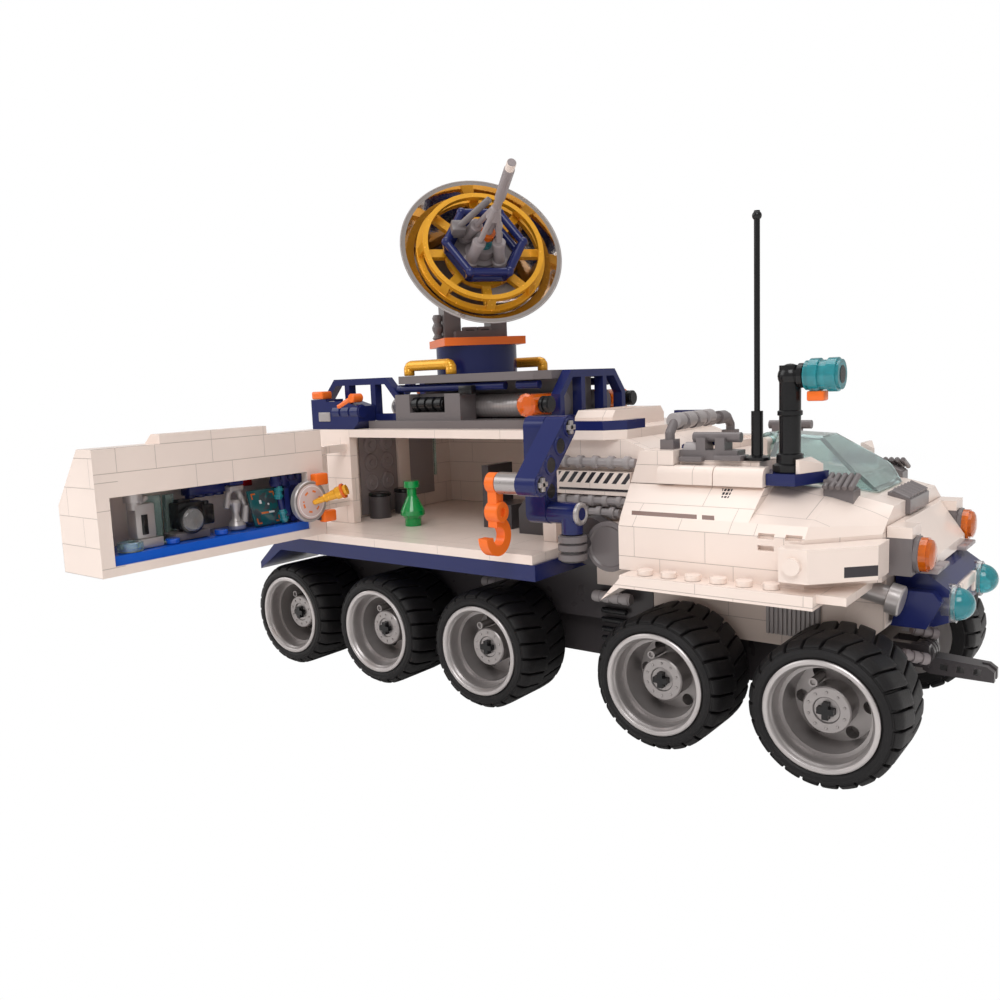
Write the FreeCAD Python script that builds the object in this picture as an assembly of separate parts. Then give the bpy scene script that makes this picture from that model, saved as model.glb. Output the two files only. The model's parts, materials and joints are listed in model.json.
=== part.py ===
"""Ten-wheeled planetary rover, a brick-built toy, in millimetres.

+X is forward, +Y is the rover's left and +Z is up. The wheels stand on z = 0, y = 0 is the
centre plane and x = 0 lies half way between the first and the last axle.
"""
import FreeCAD, Part
import math
import os

V = FreeCAD.Vector
X, Y, Z = V(1, 0, 0), V(0, 1, 0), V(0, 0, 1)

# ---------------------------------------------------------------- driving dimensions
# Building module of the toy
STUD_PITCH = 8.0
PLATE = 3.2
BRICK = 9.6
STUD_R = 2.4
STUD_H = 1.7
BAR_R = 1.6                 # thin bars, rods and handles
SEAM = 0.3                  # gap between neighbours that only face each other
RUNNING = 0.1               # radial gap of a shaft in its bore
MOVE_GAP = 1.0              # gap beside a piece that turns

# Wheels
TYRE_R = 21.6
TYRE_W = 28.0
TYRE_OUT = 62.0             # outer face of a tyre from the centre plane
RIM_R = 16.3
RIM_LIP = 1.5
RIM_FLANGE = 2.2            # thickness of the rim's flange over the tyre's side
TYRE_SHOULDER = 3.4         # width of a shoulder's rounding
TYRE_SHOULDER_IN = 1.0      # how far a shoulder's outer edge lies below the tread
HUB_R = 6.6
HUB_RECESS = 7.0            # how far the hub face lies inside the rim's edge
BARREL_DEPTH = 15.0         # how deep the rim's barrel is
RIM_HOLE_R = 1.9
RIM_HOLE_RING = 9.6
RIM_HOLES = 6
AXLE_R = 2.4
AXLE_WEB = 1.8              # width of one bar of the cross
AXLE_PITCH = 51.5
MIDDLE_GAP = 70.0           # between the third and the fourth axle

# Chassis and lower hull
SPINE_HALF = 24.0
SPINE_BOTTOM = 15.0
SPINE_TOP = 31.2
BELLY_EDGE = 41.0           # height where the belly's ends start to slope in
BELLY_SLOPE = 11.0
HULL_HALF = 32.0
HULL_TOP = 49.6
REAR_END = -119.0
FRONT_END = 121.7
BELLY_SPLIT = 46.0          # the dark rear belly ends and the white front one starts
BODY_HALF = 64.0            # ledges and fenders
LEDGE_TOP = 59.2
LEDGE_END = 18.0            # front end of the ledge
LEDGE_REAR = -106.0          # rear end of the ledges and the left side
SILL_BOTTOM = 50.4
FENDER_REAR = 51.0
FENDER_FRONT = 111.0
FENDER_BOTTOM = 52.0
FENDER_STUDS = 6
STUD_START = 58.0
STUD_ROW_Y = -60.0

# Cabin
CABIN_HALF = 40.0
WALL = 4.0
ROOF_BOTTOM = 96.0
PILLAR = 14.0               # length of the rear pillar at the door
CABIN_REAR = -102.0         # inner rear end of the cabin
CABIN_FRONT = 6.0           # inner front end of the cabin
MID_END = 58.0              # front end of the high middle hull
MID_TOP = 92.0
MID_FOOT_TOP = 68.0
SLOPE_REAR = 42.3           # leaning blocks behind the hood tiles
SLOPE_LEAN = 3.7
SLOPE_THICK = 10.0
ROOF_END = 38.0             # front end of the roof plate
ROOF_CORNER = 6.0           # corners cut off the roof plate
HATCH_REAR = 8.0            # raised hatch frame on the roof's front
HATCH_LEN = 16.0
HATCH_HALF = 20.0
HATCH_H = 6.0
HATCH_CUT = 2.6
STRIP_IN = 21.3             # inner ends and length of the navy edge strips
STRIP_LEN = 18.0

# Ribbed pipes and hazard panel on the middle hull's sides
PANEL_REAR = 12.0
PANEL_FRONT = 42.0
PANEL_BOTTOM = 77.2
PANEL_TOP = 85.2
PIPES = ((88.3, 12.5, 43.4, 5), (75.1, 12.5, 40.0, 5), (70.9, 16.0, 37.0, 4))   # height, rear end, front end, ribs
PIPE_RIB = 0.4
GRILLE = (86.0, 103.0, 35.0, 46.0)   # rear and front end, bottom and top
GRILLE_RIBS = 12
GRILLE_BACK = 0.6

# Side door, standing open at a right angle
DOOR_LEN = 94.0
DOOR_THICK = 24.0
DOOR_TOP = 100.8
DOOR_STEP_IN = 24.0         # where the raised part starts, from the free end
DOOR_STEP_LEN = 44.0
DOOR_WALL = 3.2
DOOR_RECESS_TOP = 85.0
DOOR_RECESS_FLOOR = 62.6
DOOR_END_WALL = 8.0
DOOR_FREE_WALL = 4.6        # end wall of the recess at the door's free end
DOOR_LEAN_Z = 82.0          # above this height the outer face leans in
DOOR_LEAN = 15.0
HINGE_X = -96.0
HINGE_Y = -54.0
HINGE_R = 1.6
HINGE_BARREL_R = 3.4
HINGE_TAB = 4.0             # width of the hinge's tabs and lugs
HINGE_TABS = (67.0, 90.0)   # undersides of the body's two hinge tabs
DEVICE_IN = 11.0            # round device: in from the hinge end, height, radius
DEVICE_Z = 74.0
DEVICE_R = 8.0
NOZZLE_AIM = V(0.85, 0.5, 0.2)
FLASK_X = -64.4
FLASK_Y = -32.8
DOOR_GAP = 0.6              # between the shut door and the cabin's side

# Roof works
BASE_REAR = -88.0
BASE_FRONT = -1.0
BASE_HALF = 32.0
CORE_HALF = 9.8
COLUMN_OUT = 30.0           # outer faces of the columns
COLUMN_LEN = 8.0
COLUMN_TOP = 113.0
COLUMN_X = (-73.8, -46.8)   # rear faces of the columns
TANK_R = 4.8
TANK_Y = 15.0
DECK_PIPES = ((-76.0, -20.0), (-14.0, -4.0))
TANK_BAR_R = 1.6            # navy pipes under the deck
DECK_BOTTOM = 117.3
DECK_REAR = -78.0
DECK_FRONT = 0.2
DECK_HALF = 28.0
DECK_CORNER = 5.0
RAIL_LEN = 48.0             # roof rails: over all, along the flat top, thickness
RAIL_FLAT = 32.0
RAIL_THICK = 4.0
RAIL_BAR = 2.8
RAIL_FOOT = 1.6             # height of the pins under a rail
RAIL_TOP_Z = 21.2           # heights over the roof of a rail's top and of its upright ends
RAIL_EDGE_Z = 12.4
FRONT_RAIL_X = 0.5
REAR_RAIL_X = -98.2
REAR_RAIL_Y = 22.4
UNIT_REAR = -118.0          # rear roof units
UNIT_FRONT = -89.0
UNIT_IN = 27.0
UNIT_OUT = 37.0
UNIT_TOP = 112.0
TURRET_X = -53.5
HANDLES = ((-60.0, -23.0), (-47.0, 23.0))
HANDLE_H = 5.0
HANDLE_HALF = 11.5
HANDLE_R = 2.2
DRUM_R = 17.0
DRUM_H = 11.5
DISH_R = 33.0
DISH_DEPTH = 17.0
DISH_WALL = 1.6
DISH_SETBACK = 5.0          # the tilt pivot lies this far behind the turret's axis
FEED_SEAT = 7.0             # radius of the dish's flat middle
RING_R = 26.4
RING_SINK = 4.6             # depth of the big gold ring's back below the rim plane
RIM_AT = 25.1               # distance of the dish's rim plane from its pivot
NEEDLE_REACH = 53.0         # how far the feed's needle passes the rim plane
STRUTS = 4
STRUT_TURN = 45.0           # degrees to the first strut
STRUT_REACH = 30.0
STRUT_OUT = 9.6
STRUT_SLEEVE = 15.0
STRUT_R = 2.4
HUB_STEM_R = 5.0
HUB_PLATE_R = 12.8
FRAME_R = 15.6              # six-sided frame round the feed: corners, joints, place before the hub's plate
FRAME_JOINT_R = 2.0
FRAME_OUT = 7.4
FRAME_LEAN = 1.2             # the frame's foot is this much smaller
RING_T = 2.4
FORK_GAP = 6.5              # half the space between the fork's cheeks
FORK_CHEEK = 7.0
TRUNNION_R = 2.4
DISH_HEADING = -38.0        # degrees from straight ahead
DISH_TILT = 25.5            # degrees above the horizon
DISH_PIVOT_Z = 158.6

# Cockpit and nose
SHOULDER_HALF = 56.0
SHOULDER_TOP = 70.0
SHOULDER_REAR = 46.5         # rear end of the sides at their outer edge, lower and upper
DECK_Z = 86.0
COCKPIT_HALF = 20.0
COCKPIT_REAR = 79.0
COCKPIT_FRONT = 104.0
COCKPIT_FLOOR = 64.0
CANOPY_POST = 3.0           # width of the canopy's hinge posts
CANOPY_POST_Y = 11.0
DECK_FRONT_HALF = 30.0      # half width of the deck where it starts to fall
DECK_FRONT_Z = 80.4         # deck height at the start of the taper
NOSE_DECK_HALF = 26.0
NOSE_HALF = 38.0            # half width of the front hull at the nose
WEDGE_REAR = 101.5          # rear end and length of the blocks beside the nose
WEDGE_LEN = 22.5
TAPER_START = 106.0
NOSE_X = 122.0
NOSE_TOP = 76.5             # top of the front hull at the nose
DECK_IN = 36.0              # half width of the flat deck
EDGE_Z = 82.0               # top of the sloping shoulders
FLAT_Z = 89.6               # flat deck behind the canopy
SLOT_ROWS = (66.0, 69.4, 72.8)   # recesses in the front hull's side bricks
SLOT_COLUMNS = (92.4, 100.4)
SLOT_W = 4.8
SLOT_H = 1.5
SLOT_DEPTH = 1.2
HOOD_REAR = 53.0            # rounded hood tiles beside the deck
HOOD_FRONT = 88.4
HOOD_JOINT = 72.3           # between the two tiles
HOOD_OUT = 42.0
HOOD_IN = 36.3
HOOD_TOP = 88.2
HOOD_ROUND = 3.0
CANOPY_TOP = 97.5
CANOPY_WALL = 1.6
CANOPY_REAR = 80.0
CANOPY_KNEE = 95.0          # where the top starts to fall
CANOPY_BROW = 110.5         # where the front steepens
CANOPY_TIP = 116.0
CANOPY_SILL = 82.0
CANOPY_HALF = 24.0
CANOPY_FLAT = 5.0           # half width of the flat top
CANOPY_SIDE_END = 102.0
CANOPY_LUG = 4.0
CANOPY_LUG_Y = 6.0


# Crane arm on the right side
ARM_X = 29.0
ARM_Y = -56.0
ARM_PIVOT_Z = 73.0          # lower pivot of the upright
ARM_UPRIGHT = 28.4          # between the upright's end holes
ARM_BOOM = 24.0             # between the boom's end holes
ARM_DROOP = 45.0            # degrees that the boom points down
BEAM = 7.8                  # width and thickness of a beam
ARM_DISC_R = 8.2
HOOK_DROP = 24.0

# Nose
LAMP_Y = 29.4
LAMP_Z = 63.4
LAMP_R = 5.0
LAMP_H = 3.4
LAMP_BLOCK_HALF = 5.0
LAMP_BLOCK_TOP = 68.5
NOSE_FACE = NOSE_X + SEAM    # rear face of what sits on the nose
DOME_Y = 19.0
DOME_Z = 47.5
DOME_R = 4.8
BUMPER_HALF = 24.0
BUMPER_FRONT = 137.0
BUMPER_BOTTOM = 41.0
BUMPER_END = 5.0            # width of the ends, and how far they lean forward
BUMPER_LEAN = 3.2
CLAW_Y = -4.0
CLAW_LEN = 20.0
CLAW_HIGH = 5.6             # height of the blade, its drop under the pivot, its slots
CLAW_DROP = 5.6
CLAW_SLOTS = 3
CLAW_PIVOT_Z = 27.0
CLAW_HALF = 3.4
CLAW_EAR = 3.0              # thickness of the ears that hold the claw
LAMP_X = 129.1
ROOF_LAMP_X = -3.5          # orange lamp on the tank
ROOF_LAMP_Y = 34.0
ROOF_LAMP_Z = 108.0
HOOK_WIDTH = 13.0

# rear and front end, side faces, height of the foot and the top, ribs
RIBBED_SIDE = (103.2, 112.0, -31.6, -24.6, 80.0, 85.2, 4)
RIBBED_FRONT = (116.8, 123.4, -13.0, 11.0, 75.6, 79.8, 6)
MAST_BLOCK = (97.1, 102.0, -38.0, -27.5, 4.2)   # white block on the mast plate: ends, sides, height
ROLL_X = 53.4               # roll bar behind the cockpit, set off to the left
ROLL_ENDS = (-33.0, 16.0)
ROLL_H = 9.0
ROLL_CORNER = 3.0           # cut corners of the bar
ROLL_SLEEVES = 4
CHAIR_X = -34.0             # rear of the chair in the cabin

# Masts
MAST_X = 93.5
MAST_Y = -33.0
MAST_R = 3.2
MAST_TOP = 115.4
MAST_PLATE_TOP = 86.4
MAST_PLATE_BOTTOM = 82.8
MAST_PLATE = ((88.7, 40.0), (97.5, 40.0), (102.7, 25.0), (85.4, 25.0), (85.4, 36.0), (88.7, 36.0))   # x, distance out
SEARCH_REACH = 5.0          # from the mast's axis to the searchlight
SEARCH_LEN = 10.4
SEARCH_R = 4.4
WHIP_X = 83.2
WHIP_BASE_R = 1.8
WHIP_R = 0.9
WHIP_FOOT = 105.0           # top of the whip's thick foot
WHIP_TOP = 165.0

# ---------------------------------------------------------------- worked-out sizes
HALF_BASE = (3 * AXLE_PITCH + MIDDLE_GAP) / 2
AXLE_X = [-HALF_BASE, AXLE_PITCH - HALF_BASE, 2 * AXLE_PITCH - HALF_BASE, HALF_BASE - AXLE_PITCH, HALF_BASE]
AXLE_Z = TYRE_R
ROOF_TOP = ROOF_BOTTOM + PLATE
LEDGE_BOTTOM = LEDGE_TOP - PLATE
FENDER_TOP = LEDGE_BOTTOM
AXLE_BORE_R = math.hypot(AXLE_R, AXLE_WEB / 2) + RUNNING
SIDES = (-1, 1)
# Shut, the open door's inner face lies against the cabin's side.
DOOR_FACE_X = HINGE_X + (-CABIN_HALF - DOOR_GAP - HINGE_Y)
BASE_TOP = ROOF_TOP + PLATE
CLAW_X = FRONT_END + 5
CANOPY_HINGE = (77.0, 93.6)
HEADING = V(math.cos(math.radians(DISH_HEADING)), math.sin(math.radians(DISH_HEADING)), 0)
DISH_PIVOT = V(TURRET_X, 0, DISH_PIVOT_Z) - HEADING * DISH_SETBACK
DECK_TOP = DECK_BOTTOM + PLATE


# ---------------------------------------------------------------- shape helpers
def box(x0, x1, y0, y1, z0, z1):
    """Block between two opposite corners."""
    return Part.makeBox(x1 - x0, y1 - y0, z1 - z0, V(x0, y0, z0))


def rod(start, end, radius):
    """Round bar from one point to another."""
    path = end - start
    return Part.makeCylinder(radius, path.Length, start, path)


def prism_y(outline, y0, y1):
    """Outline of (x, z) points, pushed from y0 to y1."""
    points = [V(x, y0, z) for x, z in outline]
    return Part.Face(Part.makePolygon(points + points[:1])).extrude(V(0, y1 - y0, 0))


def prism_x(outline, x0, x1):
    """Outline of (y, z) points, pushed from x0 to x1."""
    points = [V(x0, y, z) for y, z in outline]
    return Part.Face(Part.makePolygon(points + points[:1])).extrude(V(x1 - x0, 0, 0))


def prism_z(outline, z0, z1):
    """Outline of (x, y) points, pushed from z0 to z1."""
    points = [V(x, y, z0) for x, y in outline]
    return Part.Face(Part.makePolygon(points + points[:1])).extrude(V(0, 0, z1 - z0))


def turned(profile, origin, axis):
    """Profile of (radius, height) points, revolved about an axis through the origin point."""
    points = [V(r, 0, h) for r, h in profile]
    solid = Part.Face(Part.makePolygon(points + points[:1])).revolve(V(0, 0, 0), Z, 360)
    solid.Placement = FreeCAD.Placement(origin, FreeCAD.Rotation(Z, axis))
    return solid


def octagon(u, v, radius):
    """Corners of an eight-sided outline about a centre, for small collars."""
    turns = [math.radians(22.5 + 45 * i) for i in range(8)]
    return [(u + radius * math.cos(turn), v + radius * math.sin(turn)) for turn in turns]


def loft_x(*sections):
    """Ruled body through cross-sections, each given as its x and its (y, z) corners."""
    wires = []
    for x, corners in sections:
        points = [V(x, y, z) for y, z in corners]
        wires.append(Part.makePolygon(points + points[:1]))
    return Part.makeLoft(wires, True, True)


def mirrored(shape):
    """The same piece on the rover's other side."""
    return shape.mirror(V(0, 0, 0), Y)


def both_sides(shape):
    return Part.makeCompound([shape, mirrored(shape)])


def fused(*shapes):
    return shapes[0].fuse(list(shapes[1:])).removeSplitter()


def studs(places, z):
    """Studs standing on height z at (x, y) places."""
    return [Part.makeCylinder(STUD_R, STUD_H + PLATE / 2, V(x, y, z - PLATE / 2), Z) for x, y in places]


def write(name, shape):
    shape.exportStep("parts/%s.step" % name)


# ---------------------------------------------------------------- wheels
def tyre(side):
    """Balloon tyre with full shoulders, hollow where the rim sits."""
    seat = RIM_R - RIM_LIP
    half, edge = TYRE_SHOULDER / 2.5, TYRE_R - TYRE_SHOULDER_IN
    profile = [(seat, RIM_FLANGE), (RIM_R, RIM_FLANGE), (RIM_R, RIM_FLANGE / 3), (RIM_R + RIM_LIP, 0),
               (edge - RIM_LIP, TYRE_SHOULDER_IN / 2), (edge, half), (TYRE_R, TYRE_SHOULDER),
               (TYRE_R, TYRE_W - TYRE_SHOULDER), (edge, TYRE_W - half), (edge - RIM_LIP, TYRE_W - TYRE_SHOULDER_IN / 2),
               (RIM_R + RIM_LIP, TYRE_W), (seat, TYRE_W)]
    return turned(profile, V(0, side * TYRE_OUT, 0), V(0, -side, 0))


def rim(side):
    """Deep-dish rim: stepped barrel, hub face with six round holes, cross hole for the axle."""
    seat = RIM_R - RIM_LIP
    flange, step = seat - RIM_LIP / 2, HUB_RECESS - 1
    profile = [(0, HUB_RECESS), (HUB_R, HUB_RECESS), (HUB_R, HUB_RECESS + 2), (RIM_HOLE_RING - 3, BARREL_DEPTH),
               (flange - 2.4, BARREL_DEPTH), (flange - 1.6, step), (flange - 0.5, step), (flange - 0.2, RIM_FLANGE),
               (flange, RIM_FLANGE - 0.6), (RIM_R - RIM_LIP + 0.3, 0.3), (RIM_R, 0.3), (RIM_R, RIM_FLANGE),
               (seat, RIM_FLANGE), (seat, TYRE_W), (0, TYRE_W)]
    body = turned(profile, V(0, side * TYRE_OUT, 0), V(0, -side, 0))
    holes = []
    for i in range(RIM_HOLES):
        turn = math.radians(360 / RIM_HOLES * i)
        place = V(RIM_HOLE_RING * math.cos(turn), side * (TYRE_OUT - BARREL_DEPTH + 1), RIM_HOLE_RING * math.sin(turn))
        holes.append(Part.makeCylinder(RIM_HOLE_R, 6, place, V(0, -side, 0)))
    return body.cut(holes + [cross_axle(RUNNING, TYRE_OUT + 1, side)])


def cross_axle(grow, reach, side=0):
    """Cross-shaped axle along Y; side 0 gives it full length."""
    half, web = AXLE_R + grow, AXLE_WEB / 2 + grow
    y0 = -reach if side <= 0 else 0
    y1 = reach if side >= 0 else 0
    bar = box(-half, half, y0, y1, -web, web)
    return bar.fuse(box(-web, web, y0, y1, -half, half)).removeSplitter()


def write_wheels():
    tyres = Part.makeCompound([tyre(side) for side in SIDES])
    rims = Part.makeCompound([rim(side) for side in SIDES])
    axle = cross_axle(0, TYRE_OUT - HUB_RECESS + 2)
    for number, x in enumerate(AXLE_X, 1):
        for name, shape in (("tyres", tyres), ("rims", rims), ("axle", axle)):
            write("%s_%d" % (name, number), shape.translated(V(x, 0, AXLE_Z)))


# ---------------------------------------------------------------- chassis
def chassis_spine():
    """Dark spine with the axle bores, the rear belly on it and the ears of the claw's hinge."""
    spine = box(REAR_END + 4, FRONT_END - 4, -SPINE_HALF, SPINE_HALF, SPINE_BOTTOM, SPINE_TOP)
    bores = [Part.makeCylinder(AXLE_BORE_R, 2 * SPINE_HALF + 2, V(x, -SPINE_HALF - 1, AXLE_Z), Y) for x in AXLE_X]
    inner, outer = CLAW_HALF + SEAM, CLAW_HALF + SEAM + CLAW_EAR
    ears = [box(FRONT_END - 5, CLAW_X + 2.5, CLAW_Y + min(side * inner, side * outer), CLAW_Y + max(side * inner, side * outer),
                CLAW_PIVOT_Z - CLAW_EAR, SPINE_TOP) for side in SIDES]
    pin = rod(V(CLAW_X, CLAW_Y - outer, CLAW_PIVOT_Z), V(CLAW_X, CLAW_Y + outer, CLAW_PIVOT_Z), BAR_R)
    return fused(spine.cut(bores), belly(REAR_END, BELLY_SPLIT - SEAM, LEDGE_BOTTOM), *ears, pin)


def belly(start, end, floor_top):
    """Lower hull between two places along the rover, its rear and front corners cut off."""
    outline = [(REAR_END, HULL_TOP), (REAR_END, BELLY_EDGE), (REAR_END + BELLY_SLOPE, SPINE_TOP),
               (FRONT_END - BELLY_SLOPE, SPINE_TOP), (FRONT_END, BELLY_EDGE), (FRONT_END, HULL_TOP)]
    whole = prism_y(outline, -HULL_HALF, HULL_HALF)
    part = whole.common(box(start, end, -HULL_HALF, HULL_HALF, SPINE_TOP, HULL_TOP))
    return fused(part, box(start, end, -HULL_HALF, HULL_HALF, HULL_TOP, floor_top))


def sills():
    """Navy sills that carry the ledges and drop at the rear."""
    rear_tip = REAR_END - 7
    outline = [(LEDGE_END + 1, SILL_BOTTOM), (LEDGE_END + 1, LEDGE_BOTTOM), (LEDGE_REAR - 6, LEDGE_BOTTOM),
               (rear_tip, 44), (rear_tip, 41), (LEDGE_REAR - 6, SILL_BOTTOM)]
    return both_sides(prism_y(outline, -BODY_HALF, -HULL_HALF))


def write_chassis():
    write("chassis_spine", chassis_spine())
    write("lower_hull", belly(BELLY_SPLIT, FRONT_END, FENDER_TOP))
    write("sills", sills())
    write("floor_tiles", box(LEDGE_REAR, LEDGE_END, -BODY_HALF, BODY_HALF, LEDGE_BOTTOM, LEDGE_TOP))


# ---------------------------------------------------------------- cabin
def cabin_walls():
    """Thick rear wall, rear pillar at the door and the hinge tabs."""
    rear = box(REAR_END, CABIN_REAR, -CABIN_HALF, CABIN_HALF - WALL, LEDGE_TOP, ROOF_BOTTOM)
    pillar = box(CABIN_REAR, LEDGE_REAR + PILLAR, -CABIN_HALF, WALL - CABIN_HALF, LEDGE_TOP, ROOF_BOTTOM)
    tab_half = HINGE_TAB / 2
    tabs = [box(HINGE_X - tab_half, HINGE_X + tab_half, HINGE_Y, -CABIN_HALF, z, z + PLATE) for z in HINGE_TABS]
    pin = rod(V(HINGE_X, HINGE_Y, LEDGE_TOP), V(HINGE_X, HINGE_Y, HINGE_TABS[-1] + PLATE), HINGE_R)
    barrels = [rod(V(HINGE_X, HINGE_Y, z), V(HINGE_X, HINGE_Y, z + PLATE), HINGE_BARREL_R) for z in HINGE_TABS]
    return fused(rear, pillar, pin, *tabs, *barrels)


def left_wall():
    """Closed left side, the same outer form as the shut door."""
    y1 = BODY_HALF
    outline = [(CABIN_HALF - WALL, LEDGE_TOP), (y1, LEDGE_TOP), (y1, DOOR_LEAN_Z), (y1 - DOOR_LEAN, DOOR_TOP - 1),
               (CABIN_HALF + SEAM, DOOR_TOP - 1), (CABIN_HALF + SEAM, ROOF_BOTTOM), (CABIN_HALF - WALL, ROOF_BOTTOM)]
    return prism_x(outline, LEDGE_REAR, CABIN_FRONT)


def roof():
    """Roof plate with cut-off front corners and a raised hatch frame."""
    half, cut = CABIN_HALF, ROOF_CORNER
    outline = [(REAR_END, -half), (ROOF_END - cut, -half), (ROOF_END, cut - half), (ROOF_END, half - cut),
               (ROOF_END - cut, half), (REAR_END, half)]
    plate = prism_z(outline, ROOF_BOTTOM, ROOF_TOP)
    top, side, end = ROOF_TOP + HATCH_H, HATCH_HALF, HATCH_REAR + HATCH_LEN
    raised = [(-side, ROOF_TOP), (-side, top - HATCH_CUT), (HATCH_CUT - side, top)]
    raised += [(-y, z) for y, z in raised[::-1]]
    hatch = prism_x(raised, HATCH_REAR, end)
    well = box(HATCH_REAR + PLATE, end - PLATE, 2 * PLATE - side, side - 2 * PLATE, top - PLATE / 2, top)
    return fused(plate, hatch).cut(well)


def write_cabin():
    write("cabin_walls", cabin_walls())
    write("left_wall", left_wall())
    write("roof_plate", roof())


# ---------------------------------------------------------------- side door
def door_panel():
    """Lidded tray of a door: shelf recess inside, outer face leaning in at the top."""
    x_in = DOOR_FACE_X
    x_out = x_in - DOOR_THICK
    y0 = -BODY_HALF - DOOR_LEN
    y1 = -BODY_HALF
    bottom = LEDGE_TOP + SEAM
    outline = [(x_in, bottom), (x_in, DOOR_TOP), (x_out + DOOR_LEAN, DOOR_TOP), (x_out, DOOR_LEAN_Z), (x_out, bottom)]
    slab = prism_y(outline, y0, y1)
    raised = [(x_in, DOOR_TOP), (x_in, DOOR_TOP + PLATE), (x_out + DOOR_LEAN + 4, DOOR_TOP + PLATE),
              (x_out + DOOR_LEAN, DOOR_TOP)]
    cap = prism_y(raised, y0 + DOOR_STEP_IN, y0 + DOOR_STEP_IN + DOOR_STEP_LEN)
    recess = box(x_out + DOOR_WALL, x_in + 1, y0 + DOOR_FREE_WALL, y1 - DOOR_END_WALL, DOOR_RECESS_FLOOR, DOOR_RECESS_TOP)
    lugs = []
    for z0, z1 in ((HINGE_TABS[0] + PLATE + SEAM, HINGE_TABS[0] + PLATE + SEAM + BRICK),
                   (HINGE_TABS[1] - SEAM - BRICK, HINGE_TABS[1] - SEAM)):
        lugs.append(box(HINGE_X - 2, HINGE_X + 2, y1 - 1, HINGE_Y, z0, z1))
        lugs.append(rod(V(HINGE_X, HINGE_Y, z0), V(HINGE_X, HINGE_Y, z1), HINGE_BARREL_R))
    bore = rod(V(HINGE_X, HINGE_Y, bottom), V(HINGE_X, HINGE_Y, DOOR_TOP), HINGE_R + RUNNING)
    return fused(slab, cap, *lugs).cut([recess, bore])


def door_shelf():
    x_in = DOOR_FACE_X
    y0 = -BODY_HALF - DOOR_LEN
    return box(x_in - DOOR_THICK + DOOR_WALL, x_in - 1, y0 + DOOR_FREE_WALL, -BODY_HALF - DOOR_END_WALL,
               DOOR_RECESS_FLOOR, DOOR_RECESS_FLOOR + PLATE)


def door_gear():
    """Tools on the door's shelf: tower, camera, lever, screen and a round device on a bracket."""
    floor = DOOR_RECESS_FLOOR + PLATE
    free = -BODY_HALF - DOOR_LEN
    x = DOOR_FACE_X - DOOR_THICK / 2
    tower = fused(box(x - 3, x + 3, free + 15, free + 22, floor, floor + 13),
                  rod(V(x, free + 16, floor + 11), V(x, free + 16, floor + 19), 3.4))
    camera = fused(box(x - 3, x + 3, free + 34, free + 46, floor + 4, floor + 12),
                   box(x - 2, x + 2, free + 36, free + 43, floor, floor + 5),
                   box(x - 3, x + 2, free + 45, free + 51, floor + 3, floor + 9),
                   rod(V(x + 2, free + 39, floor + 7.5), V(x + 5, free + 39, floor + 7.5), 4.6))
    lever = fused(box(x - 2, x + 2, free + 54, free + 61, floor, floor + 17),
                  box(x - 2.6, x + 2.6, free + 55.5, free + 59.5, floor + 16, floor + 18.5))
    screen = box(x + 7, x + 9, free + 62, free + 74, floor, floor + 13)
    return [tower, camera, lever, screen]


def round_device():
    """Disc with a nozzle, held by a bracket at the door's hinge end."""
    x = DOOR_FACE_X
    y = -BODY_HALF - DEVICE_IN
    disc = rod(V(x + 2, y, DEVICE_Z), V(x + 5, y, DEVICE_Z), DEVICE_R)
    bracket = box(x - 5, x + 2.5, y - 8, y + 3, DEVICE_Z - 4, DEVICE_Z + 8)
    nozzle = turned([(0, 0), (1, 0), (2.6, 15), (0, 15)], V(x + 4.5, y, DEVICE_Z), NOZZLE_AIM)
    return fused(disc, bracket, nozzle)


def flask():
    """Small bottle that stands on the ledge."""
    profile = [(0, 0), (3.4, 0), (3.4, 3), (5, 4.6), (5, 6.4), (2, 12.4), (2, 15.4), (3.2, 16), (3.2, 18.6), (0, 18.6)]
    return turned(profile, V(FLASK_X, FLASK_Y, LEDGE_TOP), Z)


def write_door():
    write("door_panel", door_panel())
    write("door_shelf", door_shelf())
    write("door_gear", Part.makeCompound(door_gear() + [round_device()]))
    write("flask", flask())


# ---------------------------------------------------------------- middle and front hull
def mid_hull():
    """Closed block between the cabin and the cockpit, with the flat panels on its sides."""
    side = CABIN_HALF - WALL
    profile = [(CABIN_FRONT, LEDGE_TOP), (CABIN_FRONT, ROOF_BOTTOM), (ROOF_END, ROOF_BOTTOM), (ROOF_END + BRICK, MID_TOP),
               (MID_END, MID_TOP), (MID_END, LEDGE_TOP)]
    core = prism_y(profile, -side, side)
    post = box(CABIN_FRONT, PANEL_REAR - SEAM, -CABIN_HALF, CABIN_HALF, LEDGE_TOP, ROOF_BOTTOM)
    foot = box(LEDGE_END + SEAM, MID_END, -CABIN_HALF, CABIN_HALF, LEDGE_BOTTOM, MID_FOOT_TOP)
    panels = box(PANEL_REAR, PANEL_FRONT, -CABIN_HALF, CABIN_HALF, PANEL_BOTTOM, PANEL_TOP)
    top = MID_TOP + BAR_R / 2
    shoulders = [prism_y([(MID_END, EDGE_Z), (SLOPE_REAR, EDGE_Z), (SLOPE_REAR + SLOPE_LEAN, top), (MID_END, top)],
                         y0, y0 + sign * SLOPE_THICK)
                 for sign, y0 in ((1, -CABIN_HALF), (-1, CABIN_HALF))]
    return fused(core, post, foot, panels, *shoulders)


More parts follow.
